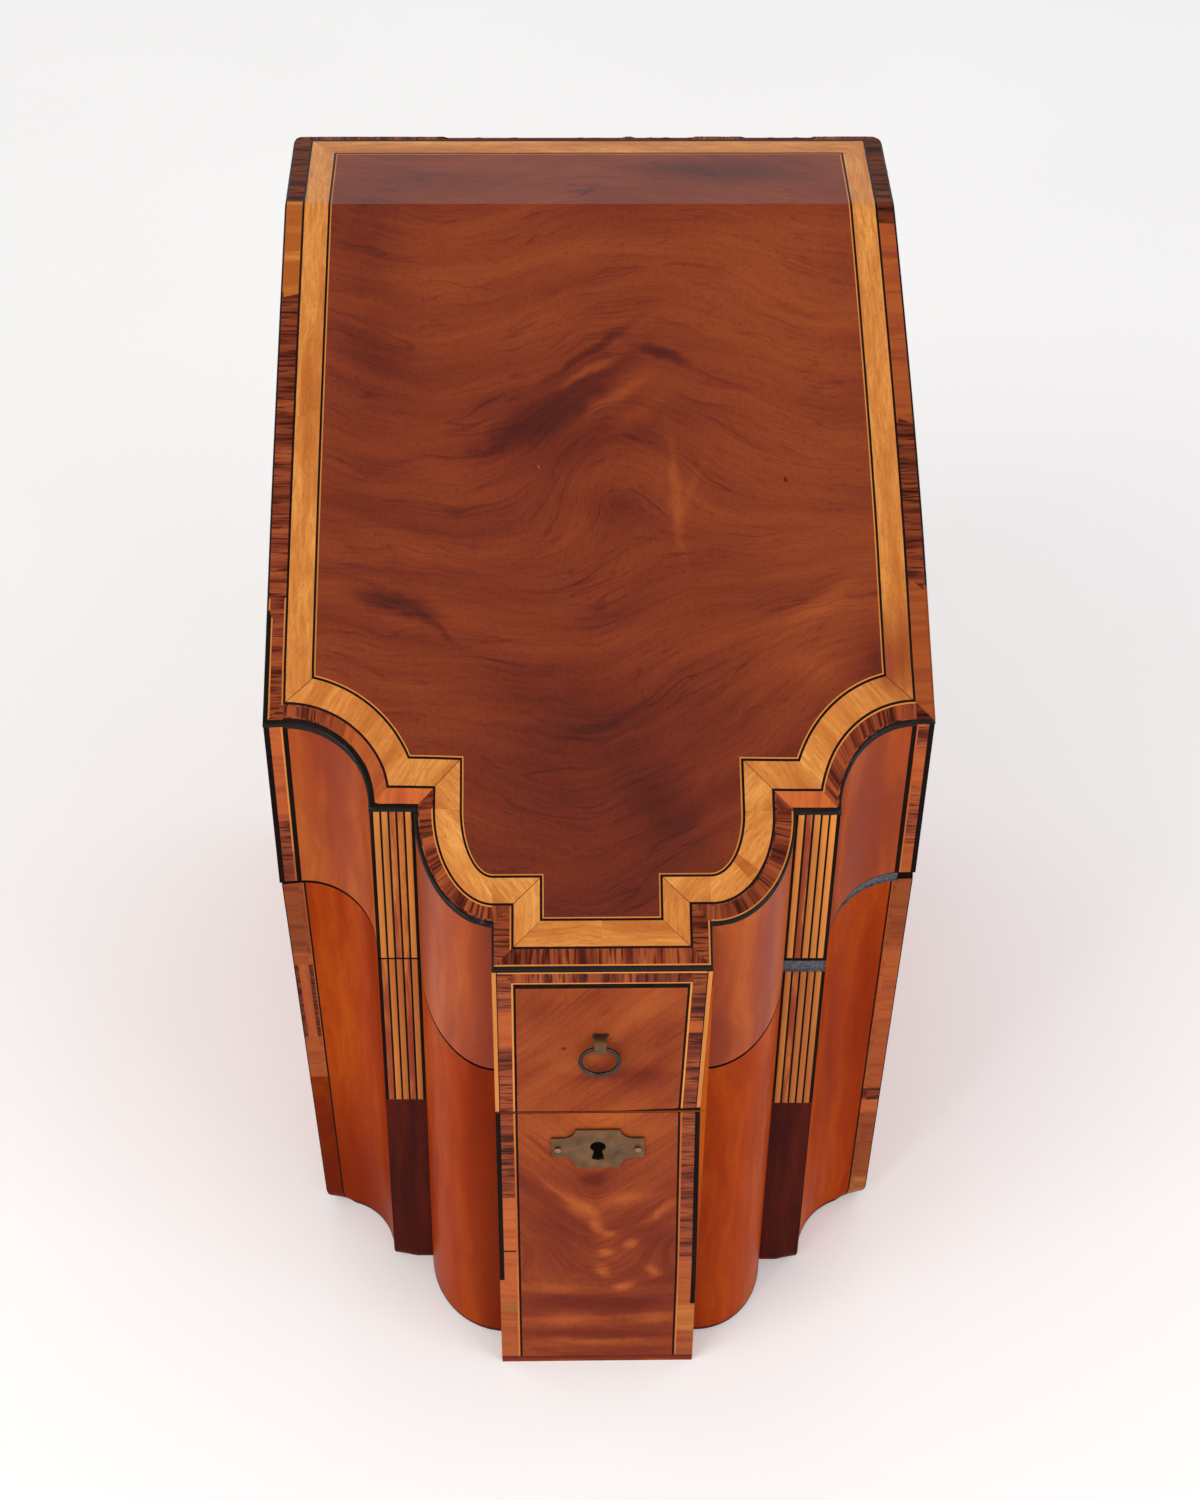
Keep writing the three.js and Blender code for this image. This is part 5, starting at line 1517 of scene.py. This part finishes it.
def leaf(name, keep, finish, slot, inset, top, under, *nodes):
    """A flat board or veneer inside the outline, on one side of the break."""
    plan = [p for p in plan_at(inset) if keep(p[1])]
    upper = [Vector((x, y, top_z(y) - top)) for x, y in plan]
    lower = [Vector((x, y, top_z(y) - under)) for x, y in plan]
    pile = Pile()
    pile.add(upper, finish, on_top(upper))
    pile.add(lower[::-1], finish, on_top(lower[::-1]))
    for i, corner in enumerate(upper):
        quad = [upper[i - 1], corner, lower[i], lower[i - 1]]
        pile.add(quad, finish, on_top(quad))
    pile.build(name, "lid", slot, *nodes)


def build_top():
    def in_slope(y):
        return y <= BREAK_Y + 1e-6

    def in_flat(y):
        return y >= BREAK_Y - 1e-6

    leaf("flame_slope", in_slope, "flame_field", "flame_mahogany", INNER_BOX_INNER, 0, VENEER, "field_veneer_slope")
    leaf("flame_flat", in_flat, "flame_field", "flame_mahogany", INNER_BOX_INNER, 0, VENEER, "field_veneer_flat")
    leaf("lid_board_slope", in_slope, "mahogany_board", "mahogany", RIM + 0.1 * MM, BOARD_TOP, BOARD_UNDER,
         "lid_top_board")
    leaf("lid_board_flat", in_flat, "mahogany_board", "mahogany", RIM + 0.1 * MM, BOARD_TOP, BOARD_UNDER,
         "lid_back_board")


# The black edge, by stretch and side: how far it reaches in over the top and down the face, in mm.
EDGE_INSETS = {("hollow", -1): 1.9, ("ovolo", -1): 1.2, ("pilaster", -1): 1.4, ("corner", -1): 1.2,
               ("stile", -1): 1.4, ("hollow", 1): 0.7, ("pilaster", 1): 1.2, ("side_slope", -1): 0.5}
CORNER_INSET = 1.5
CORNER_INSET_UNTIL = 36 * MM
WORN_EDGE_UNTIL = 46 * MM
EDGE_SKIRTS = {"side_flat": 0.8, "side_slope": 0.8, "stile": 1.2, "hollow": 1.9, "pilaster": 1.5, "corner": 1.3,
               "ovolo": 1.4, "link": 1.4, "return": 1.4, "front": 1.35, "back": 0.8, "back_end": 0.8}
USUAL_INSET = 0.6
EDGE_PROUD = 0.22 * MM
CHIP_DEPTH = 0.5 * MM
CHIP_LIMIT = 0.18


def chip_at(x, y):
    """Depth of the chips in the black edge, from nothing to CHIP_DEPTH."""
    place = Vector((x, y, 0.0))
    rough = noise.noise(place * 220) * 0.7 + noise.noise(place * 800) * 0.5
    return CHIP_DEPTH * min(1.0, max(0.0, (rough - CHIP_LIMIT) * 3))


def edge_line(extra=0.0):
    """The line where the black edge meets the crossbanding, or a line by that much further in."""
    insets = {USUAL_INSET, CORNER_INSET, *EDGE_INSETS.values()}
    loops = {inset: plan_at(inset * MM + extra) for inset in insets}
    line = []
    for i, (name, side, _) in enumerate(GAPS):
        inset = EDGE_INSETS.get((name, side), USUAL_INSET)
        near_corner = loops[inset][i][1] - CORNER_Y < CORNER_INSET_UNTIL
        line.append(loops[CORNER_INSET if (name, side) == ("side_slope", -1) and near_corner else inset][i])
    return line


def build_edge():
    """The black edge that wraps the lid's top arris. Old knocks have chipped it."""
    size = sizes()
    # Each point of the section: its inset from the lid's edge, its drop from the top and its share of the chips.
    profile = [("edge", 0.0, 0.0), (0.4 * MM, -0.04 * MM, 1.0), (0.12 * MM, 0.08 * MM, 1.0),
               (-0.1 * MM, 0.28 * MM, 1.0), (-EDGE_PROUD, 0.6 * MM, 0.6), (-EDGE_PROUD, None, 0.4),
               (-0.01 * MM, None, 0.0), (-0.01 * MM, VENEER, 0.0), ("edge", VENEER, 0.0)]

    def line(inset, drop, chipped):
        plan = band_line(inset)

        def at(i):
            x, y = plan[i]
            name, _, _ = GAPS[i]
            depth = EDGE_SKIRTS[name] * MM * size.edge_skirt if drop is None else drop
            chip = chip_at(x, y) * chipped
            depth = max(depth, missing(i, x, True))
            if drop is None:
                return x, y, top_z(y) - depth + 1.5 * chip
            return x, y, top_z(y) - depth - chip
        return at

    def face(cell):
        if bare_at(cell.name, cell.middle.x):
            return "mahogany_ground", cell.on_path(True), -0.5
        worn = cell.side > 0 and cell.name == "side_slope" and cell.middle.y - CORNER_Y < WORN_EDGE_UNTIL
        return (PLAIN, cell.on_path(False), -0.3) if worn else ("ebony", cell.on_path(True), 0.0)

    lines = [("edge", line(*p)) for p in profile]
    sweep("black_edge", "lid", "rosewood", [], lines, range(len(GAPS)), face, "edge", closed=True, smooth=60)


# Geometry Nodes.

def geometry_tree(name, inputs):
    mesh = ("Geometry", GEOMETRY)
    return new_group(name, "GeometryNodeTree", [mesh, *inputs], [mesh])


def grown(name, tree, values, body, slot, *nodes, settled=True):
    """Runs a Geometry Nodes tree on a start mesh and keeps the result as a plain mesh."""
    carrier = in_scene(name + "_start", bpy.data.meshes.new(name + "_start"))
    modifier = carrier.modifiers.new("Grow", "NODES")
    modifier.node_group = tree
    keys = {item.name: item.identifier for item in tree.interface.items_tree if item.in_out == "INPUT"}
    for label, value in values.items():
        modifier[keys[label]] = value
    mesh = plain_mesh(name, carrier)
    if settled:
        settle_mesh(mesh, body)
    finished(name, mesh, body, slot, *nodes)


def fillet_tree():
    """Upright strips side by side, one of them in another wood, at a list of start points."""
    tree, given, result = geometry_tree("pilaster_fillets", [
        ("Count", WHOLE), ("Pitch", FLOAT), ("Width", FLOAT), ("Thickness", FLOAT), ("Start", VECTOR),
        ("Height", FLOAT), ("Red strip", WHOLE), ("Other red strip", WHOLE), ("Light wood", MATERIAL),
        ("Red wood", MATERIAL)])
    step = combine(tree, given["Pitch"], 0.0)
    row = flow(tree, "GeometryNodeMeshLine", {"Count": given["Count"], "Start Location": given["Start"],
                                              "Offset": step}, mode="OFFSET")
    counted = flow(tree, "GeometryNodeStoreNamedAttribute", {
        "Geometry": row, "Name": "strip", "Value": flow(tree, "GeometryNodeInputIndex")},
        data_type="INT", domain="POINT")
    top = combine(tree, 0.0, 0.0, given["Height"])
    spine = flow(tree, "GeometryNodeCurvePrimitiveLine", {"Start": (0, 0, 0), "End": top})
    section = flow(tree, "GeometryNodeCurvePrimitiveQuadrilateral", {"Width": given["Width"],
                                                                     "Height": given["Thickness"]})
    eased = flow(tree, "GeometryNodeFilletCurve", {"Curve": section, "Radius": STRIP_EASE, "Count": 2}, mode="POLY")
    strip = flow(tree, "GeometryNodeCurveToMesh", {"Curve": spine, "Profile Curve": eased, "Fill Caps": True})
    placed = flow(tree, "GeometryNodeInstanceOnPoints", {"Points": counted, "Instance": strip})
    real = flow(tree, "GeometryNodeRealizeInstances", {"Geometry": placed})
    light = flow(tree, "GeometryNodeSetMaterial", {"Geometry": real, "Material": given["Light wood"]})
    strip_number = flow(tree, "GeometryNodeInputNamedAttribute", {"Name": "strip"}, data_type="INT")
    matches = []
    for label in ("Red strip", "Other red strip"):
        chosen = node(tree, "FunctionNodeCompare", None, data_type="INT", operation="EQUAL")
        tree.links.new(strip_number, chosen.inputs[2])
        tree.links.new(given[label], chosen.inputs[3])
        matches.append(chosen.outputs[0])
    either = flow(tree, "FunctionNodeBooleanMath", {0: matches[0], 1: matches[1]}, operation="OR")
    red = flow(tree, "GeometryNodeSetMaterial", {"Geometry": light, "Selection": either,
                                                 "Material": given["Red wood"]})
    tree.links.new(red, result["Geometry"])
    return tree


LIGHT_STRIPS = {"lid": "boxwood_upright", "case": "boxwood_worn"}
STRIP_THICKNESS = 0.3 * MM
STRIP_EASE = 0.06 * MM
STRIP_PROUD = 0.02 * MM


def build_fillets():
    """The light strips of the pilasters. Each pilaster has one or two in red wood."""
    tree = fillet_tree()
    size = sizes()
    rim = JOINT_GAP / 2
    joint = joint_z(PILASTER_Y)
    head = top_z(PILASTER_Y) - EDGE_SKIRTS["pilaster"] * MM * size.edge_skirt
    spans = {
        ("lid", 1): (joint + rim + DUST_AND_SHADOW_RISE, head, (1, 1), "lid"),
        ("lid", -1): (joint + rim, head, (2, 3), "lid"),
        ("case", 1): (size.fillet_foot, joint - rim - DUST_AND_SHADOW_DEPTH, (1, 1), "carcase"),
        ("case", -1): (size.fillet_foot, joint - rim - JOINT_LINE, (0, 3), "carcase"),
    }
    for (part, side), (low_z, high_z, red, body) in spans.items():
        first = side * (PILASTER_IN + PILASTER_OUT) / 2 - size.fillet_pitch * (size.fillets - 1) / 2
        values = {"Count": size.fillets, "Pitch": size.fillet_pitch, "Width": size.fillet_width,
                  "Thickness": STRIP_THICKNESS, "Start": (first, PILASTER_Y - STRIP_PROUD, low_z),
                  "Height": high_z - low_z, "Red strip": red[0], "Other red strip": red[1],
                  "Light wood": bpy.data.materials[LIGHT_STRIPS[part]], "Red wood": bpy.data.materials["red_fillet"]}
        word = "right" if side > 0 else "left"
        grown(f"{part}_fillets_{word}", tree, values, body, "satinwood")


def slot_string_tree():
    """A flat string round each slot of a grid of slots, all on the slope of the cutlery board."""
    tree, given, result = geometry_tree("slot_strings", [
        ("Columns", WHOLE), ("Rows", WHOLE), ("Column pitch", FLOAT), ("Row pitch", FLOAT), ("Slot width", FLOAT),
        ("Slot length", FLOAT), ("String", FLOAT), ("Thickness", FLOAT), ("Place", VECTOR), ("Slope", FLOAT),
        ("Wood", MATERIAL)])

    def reach(count, pitch):
        return maths(tree, "MULTIPLY", maths(tree, "SUBTRACT", given[count], 1.0), given[pitch])

    grid = flow(tree, "GeometryNodeMeshGrid", {
        "Size X": reach("Columns", "Column pitch"), "Size Y": reach("Rows", "Row pitch"),
        "Vertices X": given["Columns"], "Vertices Y": given["Rows"]})
    outline = flow(tree, "GeometryNodeCurvePrimitiveQuadrilateral", {
        "Width": maths(tree, "ADD", given["Slot width"], given["String"]),
        "Height": maths(tree, "ADD", given["Slot length"], given["String"])})
    section = flow(tree, "GeometryNodeCurvePrimitiveQuadrilateral", {
        "Width": maths(tree, "MULTIPLY", given["String"], math.sqrt(2)), "Height": given["Thickness"]})
    string = flow(tree, "GeometryNodeCurveToMesh", {"Curve": outline, "Profile Curve": section})
    placed = flow(tree, "GeometryNodeInstanceOnPoints", {"Points": grid, "Instance": string})
    tilt = combine(tree, given["Slope"], 0.0)
    moved = flow(tree, "GeometryNodeTransform", {"Geometry": placed, "Translation": given["Place"],
                                                 "Rotation": tilt})
    real = flow(tree, "GeometryNodeRealizeInstances", {"Geometry": moved})
    wooded = flow(tree, "GeometryNodeSetMaterial", {"Geometry": real, "Material": given["Wood"]})
    tree.links.new(wooded, result["Geometry"])
    return tree


# Slots of the cutlery board: columns, rows, their pitches, the slot's size and the middle of the group, in mm.
SLOT_GROUPS = {
    "knife": (5, 4, 39, 48, 9, 26, (0, 50.6)),
    "spoon": (2, 1, 52, 48, 38, 14, (0, -73.4)),
}
BOARD_DROP = 12 * MM
STRING_DEPTH = 0.4 * MM


def build_slot_strings():
    tree = slot_string_tree()
    steep = math.hypot(1, SLOPE)
    for name, (columns, rows, pitch, row_pitch, width, long, (x, y)) in SLOT_GROUPS.items():
        place = (x * MM, y * MM, joint_z(y * MM) - BOARD_DROP + STRING_DEPTH / 4)
        grown(f"{name}_slot_strings", tree, {
            "Columns": columns, "Rows": rows, "Column pitch": pitch * MM, "Row pitch": row_pitch * MM * steep,
            "Slot width": width * MM, "Slot length": long * MM * steep, "String": sizes().slot_string,
            "Thickness": STRING_DEPTH, "Place": place, "Slope": SLOPE_ANGLE,
            "Wood": bpy.data.materials["boxwood_upright"]}, "carcase", "satinwood", settled=False)


# Metalwork.

def plate(name, outlines, thickness, bevel, placing, finish, body, slot, *nodes):
    """A flat plate with rounded edges from its outline and any holes, then moved by placing."""
    curve = bpy.data.curves.new(name, "CURVE")
    curve.dimensions = "2D"
    curve.fill_mode = "BOTH"
    curve.extrude = thickness / 2 - bevel
    curve.bevel_depth = bevel
    curve.bevel_resolution = 2
    curve.offset = -bevel
    for outline in outlines:
        spline = curve.splines.new("POLY")
        spline.points.add(len(outline) - 1)
        for point, (a, b) in zip(spline.points, outline):
            point.co = (a, b, 0, 1)
        spline.use_cyclic_u = True
    mesh = plain_mesh(name, in_scene(name + "_curve", curve))
    mesh.transform(placing)
    settle_mesh(mesh, body)
    mesh.materials.clear()
    mesh.materials.append(bpy.data.materials[finish])
    finished(name, mesh, body, slot, *nodes)


FACING = Matrix.Rotation(math.pi / 2, 4, "X")
KEYHOLE_Z = 131.8 * MM
KEYHOLE_RADIUS = 2.85 * MM
KEYHOLE_DROP = 6.7 * MM
KEYHOLE_WAIST = 1.5 * MM
KEYHOLE_FOOT = 2.3 * MM
KEYHOLE_POINT = 0.7 * MM
PLATE_EAR_Z = (126.1 * MM, 136.4 * MM)
PLATE_HEAD_HALF = 8.1 * MM
PLATE_NOTCH = 4.8 * MM
KEYHOLE_DEPTH = 0.08 * MM
RIVET_RADIUS = 1.15 * MM
RIVET_THICKNESS = 0.5 * MM
RIVET_PROUD = 0.25 * MM
RIVET_BEVEL = 0.16 * MM
COLLAR = ((-2.9, -1.3), (2.7, -1.1), (3.0, 0.5), (1.9, 0.9), (1.3, 0.4), (0.5, 0.9), (-0.7, 0.5), (-1.9, 0.95),
          (-2.7, 0.3))
COLLAR_THICKNESS = 0.5 * MM
COLLAR_BEVEL = 0.1 * MM
COLLAR_PROUD = 0.2 * MM
STAPLE_STRAP = 0.8 * MM
STAPLE_BEVEL = 0.12 * MM
RING_STEPS = 72
RING_SIDES = 16
RING_THINNED = 0.12
RING_UNEVEN = 0.03


def facing_at(y):
    """Moves a flat outline upright, to face the front at this depth."""
    return Matrix.Translation((0, y, 0)) @ FACING


def keyhole():
    meet = math.asin(KEYHOLE_WAIST / KEYHOLE_RADIUS)
    round_part = arc((0, KEYHOLE_Z), (KEYHOLE_RADIUS, KEYHOLE_RADIUS), meet - math.pi / 2, 1.5 * math.pi - meet, 24)
    foot = KEYHOLE_Z - KEYHOLE_DROP
    return [(0, foot - KEYHOLE_POINT), (KEYHOLE_FOOT, foot)] + round_part + [(-KEYHOLE_FOOT, foot)]


def escutcheon_outline():
    box_low, box_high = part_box("escutcheon")
    ear_low, ear_high = PLATE_EAR_Z
    centre_x = PLATE_HEAD_HALF + PLATE_NOTCH
    lower = arc((centre_x, box_low.z), (PLATE_NOTCH, ear_low - box_low.z), math.pi, math.pi / 2, 12)
    upper = arc((centre_x, box_high.z), (PLATE_NOTCH, box_high.z - ear_high), -math.pi / 2, -math.pi, 12)
    right = lower + [(box_high.x, ear_low), (box_high.x, ear_high)] + upper
    return right + [(-x, z) for x, z in reversed(right)]


def build_escutcheon():
    box_low, box_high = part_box("escutcheon")
    thickness = box_high.y - box_low.y
    plate("escutcheon_plate", [escutcheon_outline(), keyhole()], thickness, sizes().plate_bevel,
          facing_at(box_high.y - thickness / 2), "dull_brass", "carcase", "brass", "escutcheon")
    plate("keyhole_shadow", [keyhole()], 0.1 * MM, 0.01 * MM, facing_at(box_high.y + KEYHOLE_DEPTH), "keyhole_dark",
          "carcase", "flame_mahogany")


def build_rivets():
    """The two pins that hold the escutcheon, in lightened brass that paints their glints."""
    for side, word in SIDES:
        box_low, box_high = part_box(f"escutcheon_pin_{word}")
        middle = (box_low + box_high) / 2
        head = arc((middle.x, middle.z), (RIVET_RADIUS, RIVET_RADIUS), 0, 2 * math.pi, 20)[:-1]
        placing = facing_at(box_low.y - RIVET_PROUD + RIVET_THICKNESS / 2)
        plate(f"rivet_{word}", [head], RIVET_THICKNESS, RIVET_BEVEL, placing, "rivet_brass", "carcase", "brass",
              f"escutcheon_pin_{word}")


def build_collar():
    """A scrap of dark iron round the top of the staple."""
    top = high("ring_staple").z
    outline = [(x * MM, top + z * MM) for x, z in COLLAR]
    plate("staple_collar", [outline], COLLAR_THICKNESS, COLLAR_BEVEL, facing_at(FRONT_Y - PROUD - COLLAR_PROUD),
          "worn_iron", "lid", "dark_iron")


def tube(name, path, radius_at, sides, finish, body, slot, *nodes):
    """A closed round bar along a ring of points."""
    count = len(path)
    pile = Pile()
    rings = []
    for i, point in enumerate(path):
        ahead = (path[(i + 1) % count] - path[i - 1]).normalized()
        side = ahead.cross(Vector((0, 1, 0))).normalized()
        up = side.cross(ahead)
        radius = radius_at(i / count)
        turns = [2 * math.pi * k / sides for k in range(sides)]
        rings.append([point + radius * (math.cos(a) * side + math.sin(a) * up) for a in turns])
    for i in range(count):
        for k in range(sides):
            n, m = (i + 1) % count, (k + 1) % sides
            quad = [rings[i][k], rings[n][k], rings[n][m], rings[i][m]]
            pile.add(quad, finish, [(p.x, p.z) for p in quad])
    pile.build(name, body, slot, *nodes, smooth=80)


def build_ring():
    box_low, box_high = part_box("ring_pull")
    wire = sizes().ring_wire / 2
    radius = (box_high.x - box_low.x) / 2 - wire
    centre = (box_low + box_high) / 2
    turns = [2 * math.pi * i / RING_STEPS for i in range(RING_STEPS)]
    path = [centre + radius * Vector((math.sin(a), 0, math.cos(a))) for a in turns]

    def radius_at(share):
        top = math.cos(2 * math.pi * share)
        return wire * (1 - RING_THINNED * max(0.0, top) ** 8 + RING_UNEVEN * math.sin(14 * math.pi * share))

    tube("ring", path, radius_at, RING_SIDES, "worn_iron", "ring", "dark_iron", "ring_pull")


def build_staple():
    box_low, box_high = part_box("ring_staple")
    radius = (box_high.z - box_low.z) / 2
    within = radius - STAPLE_STRAP
    centre = (box_low.y + radius, (box_low.z + box_high.z) / 2)
    outer = arc(centre, (radius, radius), math.pi / 2, 1.5 * math.pi, 28)
    inner = arc(centre, (within, within), 1.5 * math.pi, math.pi / 2, 28)
    outline = [(box_high.y, centre[1] + radius)] + outer + [(box_high.y, centre[1] - radius)]
    outline += [(box_high.y, centre[1] - within)] + inner + [(box_high.y, centre[1] + within)]
    turn = Matrix(((0, 0, 1, 0), (1, 0, 0, 0), (0, 1, 0, 0), (0, 0, 0, 1)))
    plate("staple", [outline], box_high.x - box_low.x, STAPLE_BEVEL, turn, "dull_brass", "lid", "brass",
          "ring_staple")


# Carried-over nodes.

CARRIED = {
    "old_deal": ("case_bottom", "cleat_left", "cleat_right", "cleat_back", "blade_divider_1", "blade_divider_2"),
    "mahogany_board": ("cutlery_board",),
    "mahogany_ground": ("case_centre", "lid_centre"),
    "dull_brass": ("lock_plate", "lock_bolt", "link_plate", "lock_screw_left", "lock_screw_right",
                   "link_plate_screw_left", "link_plate_screw_right"),
    "worn_iron": ("lock_cap",),
}


def dress_nodes():
    for finish, names in CARRIED.items():
        for name in names:
            paint(name, finish)
    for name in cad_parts:
        if name.startswith("hinge"):
            paint(name, "dull_brass")


def paint(name, finish):
    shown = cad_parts[name]
    if not shown.material_slots:
        shown.data.materials.append(bpy.data.materials[finish])
    for place in shown.material_slots:
        place.material = bpy.data.materials[finish]


# Stage.

CAMERA_PLACE = (-17.69 * MM, -730.03 * MM, 839.36 * MM)
CAMERA_YAW = math.radians(1.569)
CAMERA_PITCH = math.radians(-42.161)
CAMERA_ROLL = math.radians(0.747)
FOCAL_LENGTH = 61.03
FLOOR_HALF = 40.0

# Each light's name, place, width, height, power and colour. Both point at the middle of the box.
LIGHTS = (
    ("key", (-1.1, -1.0, 1.3), 0.9, 0.9, 11, (1.0, 0.97, 0.94)),
    ("fill", (1.2, -1.0, 0.9), 0.8, 1.0, 7, (0.96, 0.98, 1.0)),
)
LIGHT_TARGET = Vector((0, 0, 0.15))


def add_camera():
    ahead = Vector((math.sin(CAMERA_YAW) * math.cos(CAMERA_PITCH), math.cos(CAMERA_YAW) * math.cos(CAMERA_PITCH),
                    math.sin(CAMERA_PITCH)))
    across = Vector((math.cos(CAMERA_YAW), -math.sin(CAMERA_YAW), 0))
    above = across.cross(ahead)
    right = across * math.cos(CAMERA_ROLL) + above * math.sin(CAMERA_ROLL)
    up = above * math.cos(CAMERA_ROLL) - across * math.sin(CAMERA_ROLL)
    data = bpy.data.cameras.new("camera")
    data.lens = FOCAL_LENGTH
    data.clip_end = 20
    camera = in_scene("camera", data)
    camera.matrix_world = Matrix.Translation(CAMERA_PLACE) @ Matrix((right, up, -ahead)).transposed().to_4x4()
    bpy.context.scene.camera = camera


def add_light(name, place, width, height, power, tint):
    data = bpy.data.lights.new(name, "AREA")
    data.shape = "RECTANGLE"
    data.size = width
    data.size_y = height
    data.energy = power
    data.color = tint
    light = in_scene(name, data)
    light.location = place
    light.rotation_euler = (LIGHT_TARGET - Vector(place)).to_track_quat("-Z", "Y").to_euler()


def add_world():
    world = bpy.data.worlds.new("studio")
    bpy.context.scene.world = world
    world.use_nodes = True
    tree = world.node_tree
    place = node(tree, "ShaderNodeTexCoord").outputs["Generated"]
    height = separate(tree, place)[2]
    shade = ramp(tree, height, [(0.0, (1, 1, 1)), (0.7, (0.95, 0.95, 0.95)), (1.0, (0.12, 0.12, 0.13))])
    tree.links.new(shade, tree.nodes["Background"].inputs[0])
    tree.nodes["Background"].inputs[1].default_value = 1.0


def add_floor():
    mesh = bpy.data.meshes.new("floor")
    half = FLOOR_HALF
    mesh.from_pydata([(-half, -half, 0), (half, -half, 0), (half, half, 0), (-half, half, 0)], [], [(0, 1, 2, 3)])
    material, tree, shader = new_material("studio_floor")
    place = node(tree, "ShaderNodeTexCoord").outputs["Object"]
    shade = colours().floor
    cloud = spread(tree, noise_at(tree, place, 3.0), 0.3, 0.7)
    tree.links.new(blend(tree, cloud, shade, times(shade, 0.97)), shader.inputs["Base Color"])
    shader.inputs["Roughness"].default_value = 0.8
    shader.inputs["Emission Color"].default_value = (1, 1, 1, 1)
    shader.inputs["Emission Strength"].default_value = 0.12
    mesh.materials.append(material)
    in_scene("floor", mesh)


def build_stage():
    add_camera()
    add_world()
    add_floor()
    for light in LIGHTS:
        add_light(*light)
    scene = bpy.context.scene
    scene.view_settings.view_transform = "Standard"
    scene.view_settings.look = "None"


# Operators, one for each group of pieces.

class StageOperator(bpy.types.Operator):
    """Add the camera, the lights and the pale floor"""

    bl_idname = "knife_box.stage"
    bl_label = "Stage"

    def execute(self, context):
        build_stage()
        return {"FINISHED"}


class FinishesOperator(bpy.types.Operator):
    """Make the woods and metals and put them on the carried-over pieces"""

    bl_idname = "knife_box.finishes"
    bl_label = "Finishes"

    def execute(self, context):
        make_materials()
        dress_nodes()
        return {"FINISHED"}


class WallsOperator(bpy.types.Operator):
    """Build the veneered walls of the case and the lid"""

    bl_idname = "knife_box.walls"
    bl_label = "Walls"

    def execute(self, context):
        build_case_walls()
        build_lid_walls()
        build_backs()
        build_centre_faces()
        return {"FINISHED"}


class TopOperator(bpy.types.Operator):
    """Lay the lid's boards, flame veneers, bands and strings"""

    bl_idname = "knife_box.top"
    bl_label = "Lid top"

    def execute(self, context):
        build_top()
        build_bands()
        build_edge()
        return {"FINISHED"}


class FilletsOperator(bpy.types.Operator):
    """Let the light fillets into the pilasters"""

    bl_idname = "knife_box.fillets"
    bl_label = "Fillets"

    def execute(self, context):
        build_fillets()
        build_slot_strings()
        return {"FINISHED"}


class MountsOperator(bpy.types.Operator):
    """Make the ring, its staple and the escutcheon"""

    bl_idname = "knife_box.mounts"
    bl_label = "Ring and escutcheon"

    def execute(self, context):
        build_ring()
        build_staple()
        build_escutcheon()
        build_rivets()
        build_collar()
        return {"FINISHED"}


OPERATORS = (StageOperator, FinishesOperator, WallsOperator, TopOperator, FilletsOperator, MountsOperator)


class KnifeBoxPanel(bpy.types.Panel):
    """Sizes, colours and building steps of the knife box"""

    bl_idname = "VIEW3D_PT_knife_box"
    bl_label = "Knife Box"
    bl_space_type = "VIEW_3D"
    bl_region_type = "UI"
    bl_category = "Knife Box"

    def draw(self, context):
        for group in (context.scene.knife_box_sizes, context.scene.knife_box_colours):
            for name in group.__annotations__:
                self.layout.prop(group, name)
        for operator in OPERATORS:
            self.layout.operator(operator.bl_idname)


CLASSES = (KnifeBoxSizes, KnifeBoxColours, *OPERATORS, KnifeBoxPanel)


def register():
    for cls in CLASSES:
        bpy.utils.register_class(cls)
    bpy.types.Scene.knife_box_sizes = PointerProperty(type=KnifeBoxSizes)
    bpy.types.Scene.knife_box_colours = PointerProperty(type=KnifeBoxColours)


def unregister():
    del bpy.types.Scene.knife_box_colours
    del bpy.types.Scene.knife_box_sizes
    for cls in reversed(CLASSES):
        bpy.utils.unregister_class(cls)


def main():
    register()
    bpy.ops.knife_box.stage()
    bpy.ops.knife_box.finishes()
    bpy.ops.knife_box.walls()
    bpy.ops.knife_box.top()
    bpy.ops.knife_box.fillets()
    bpy.ops.knife_box.mounts()


if __name__ == "__main__":
    main()
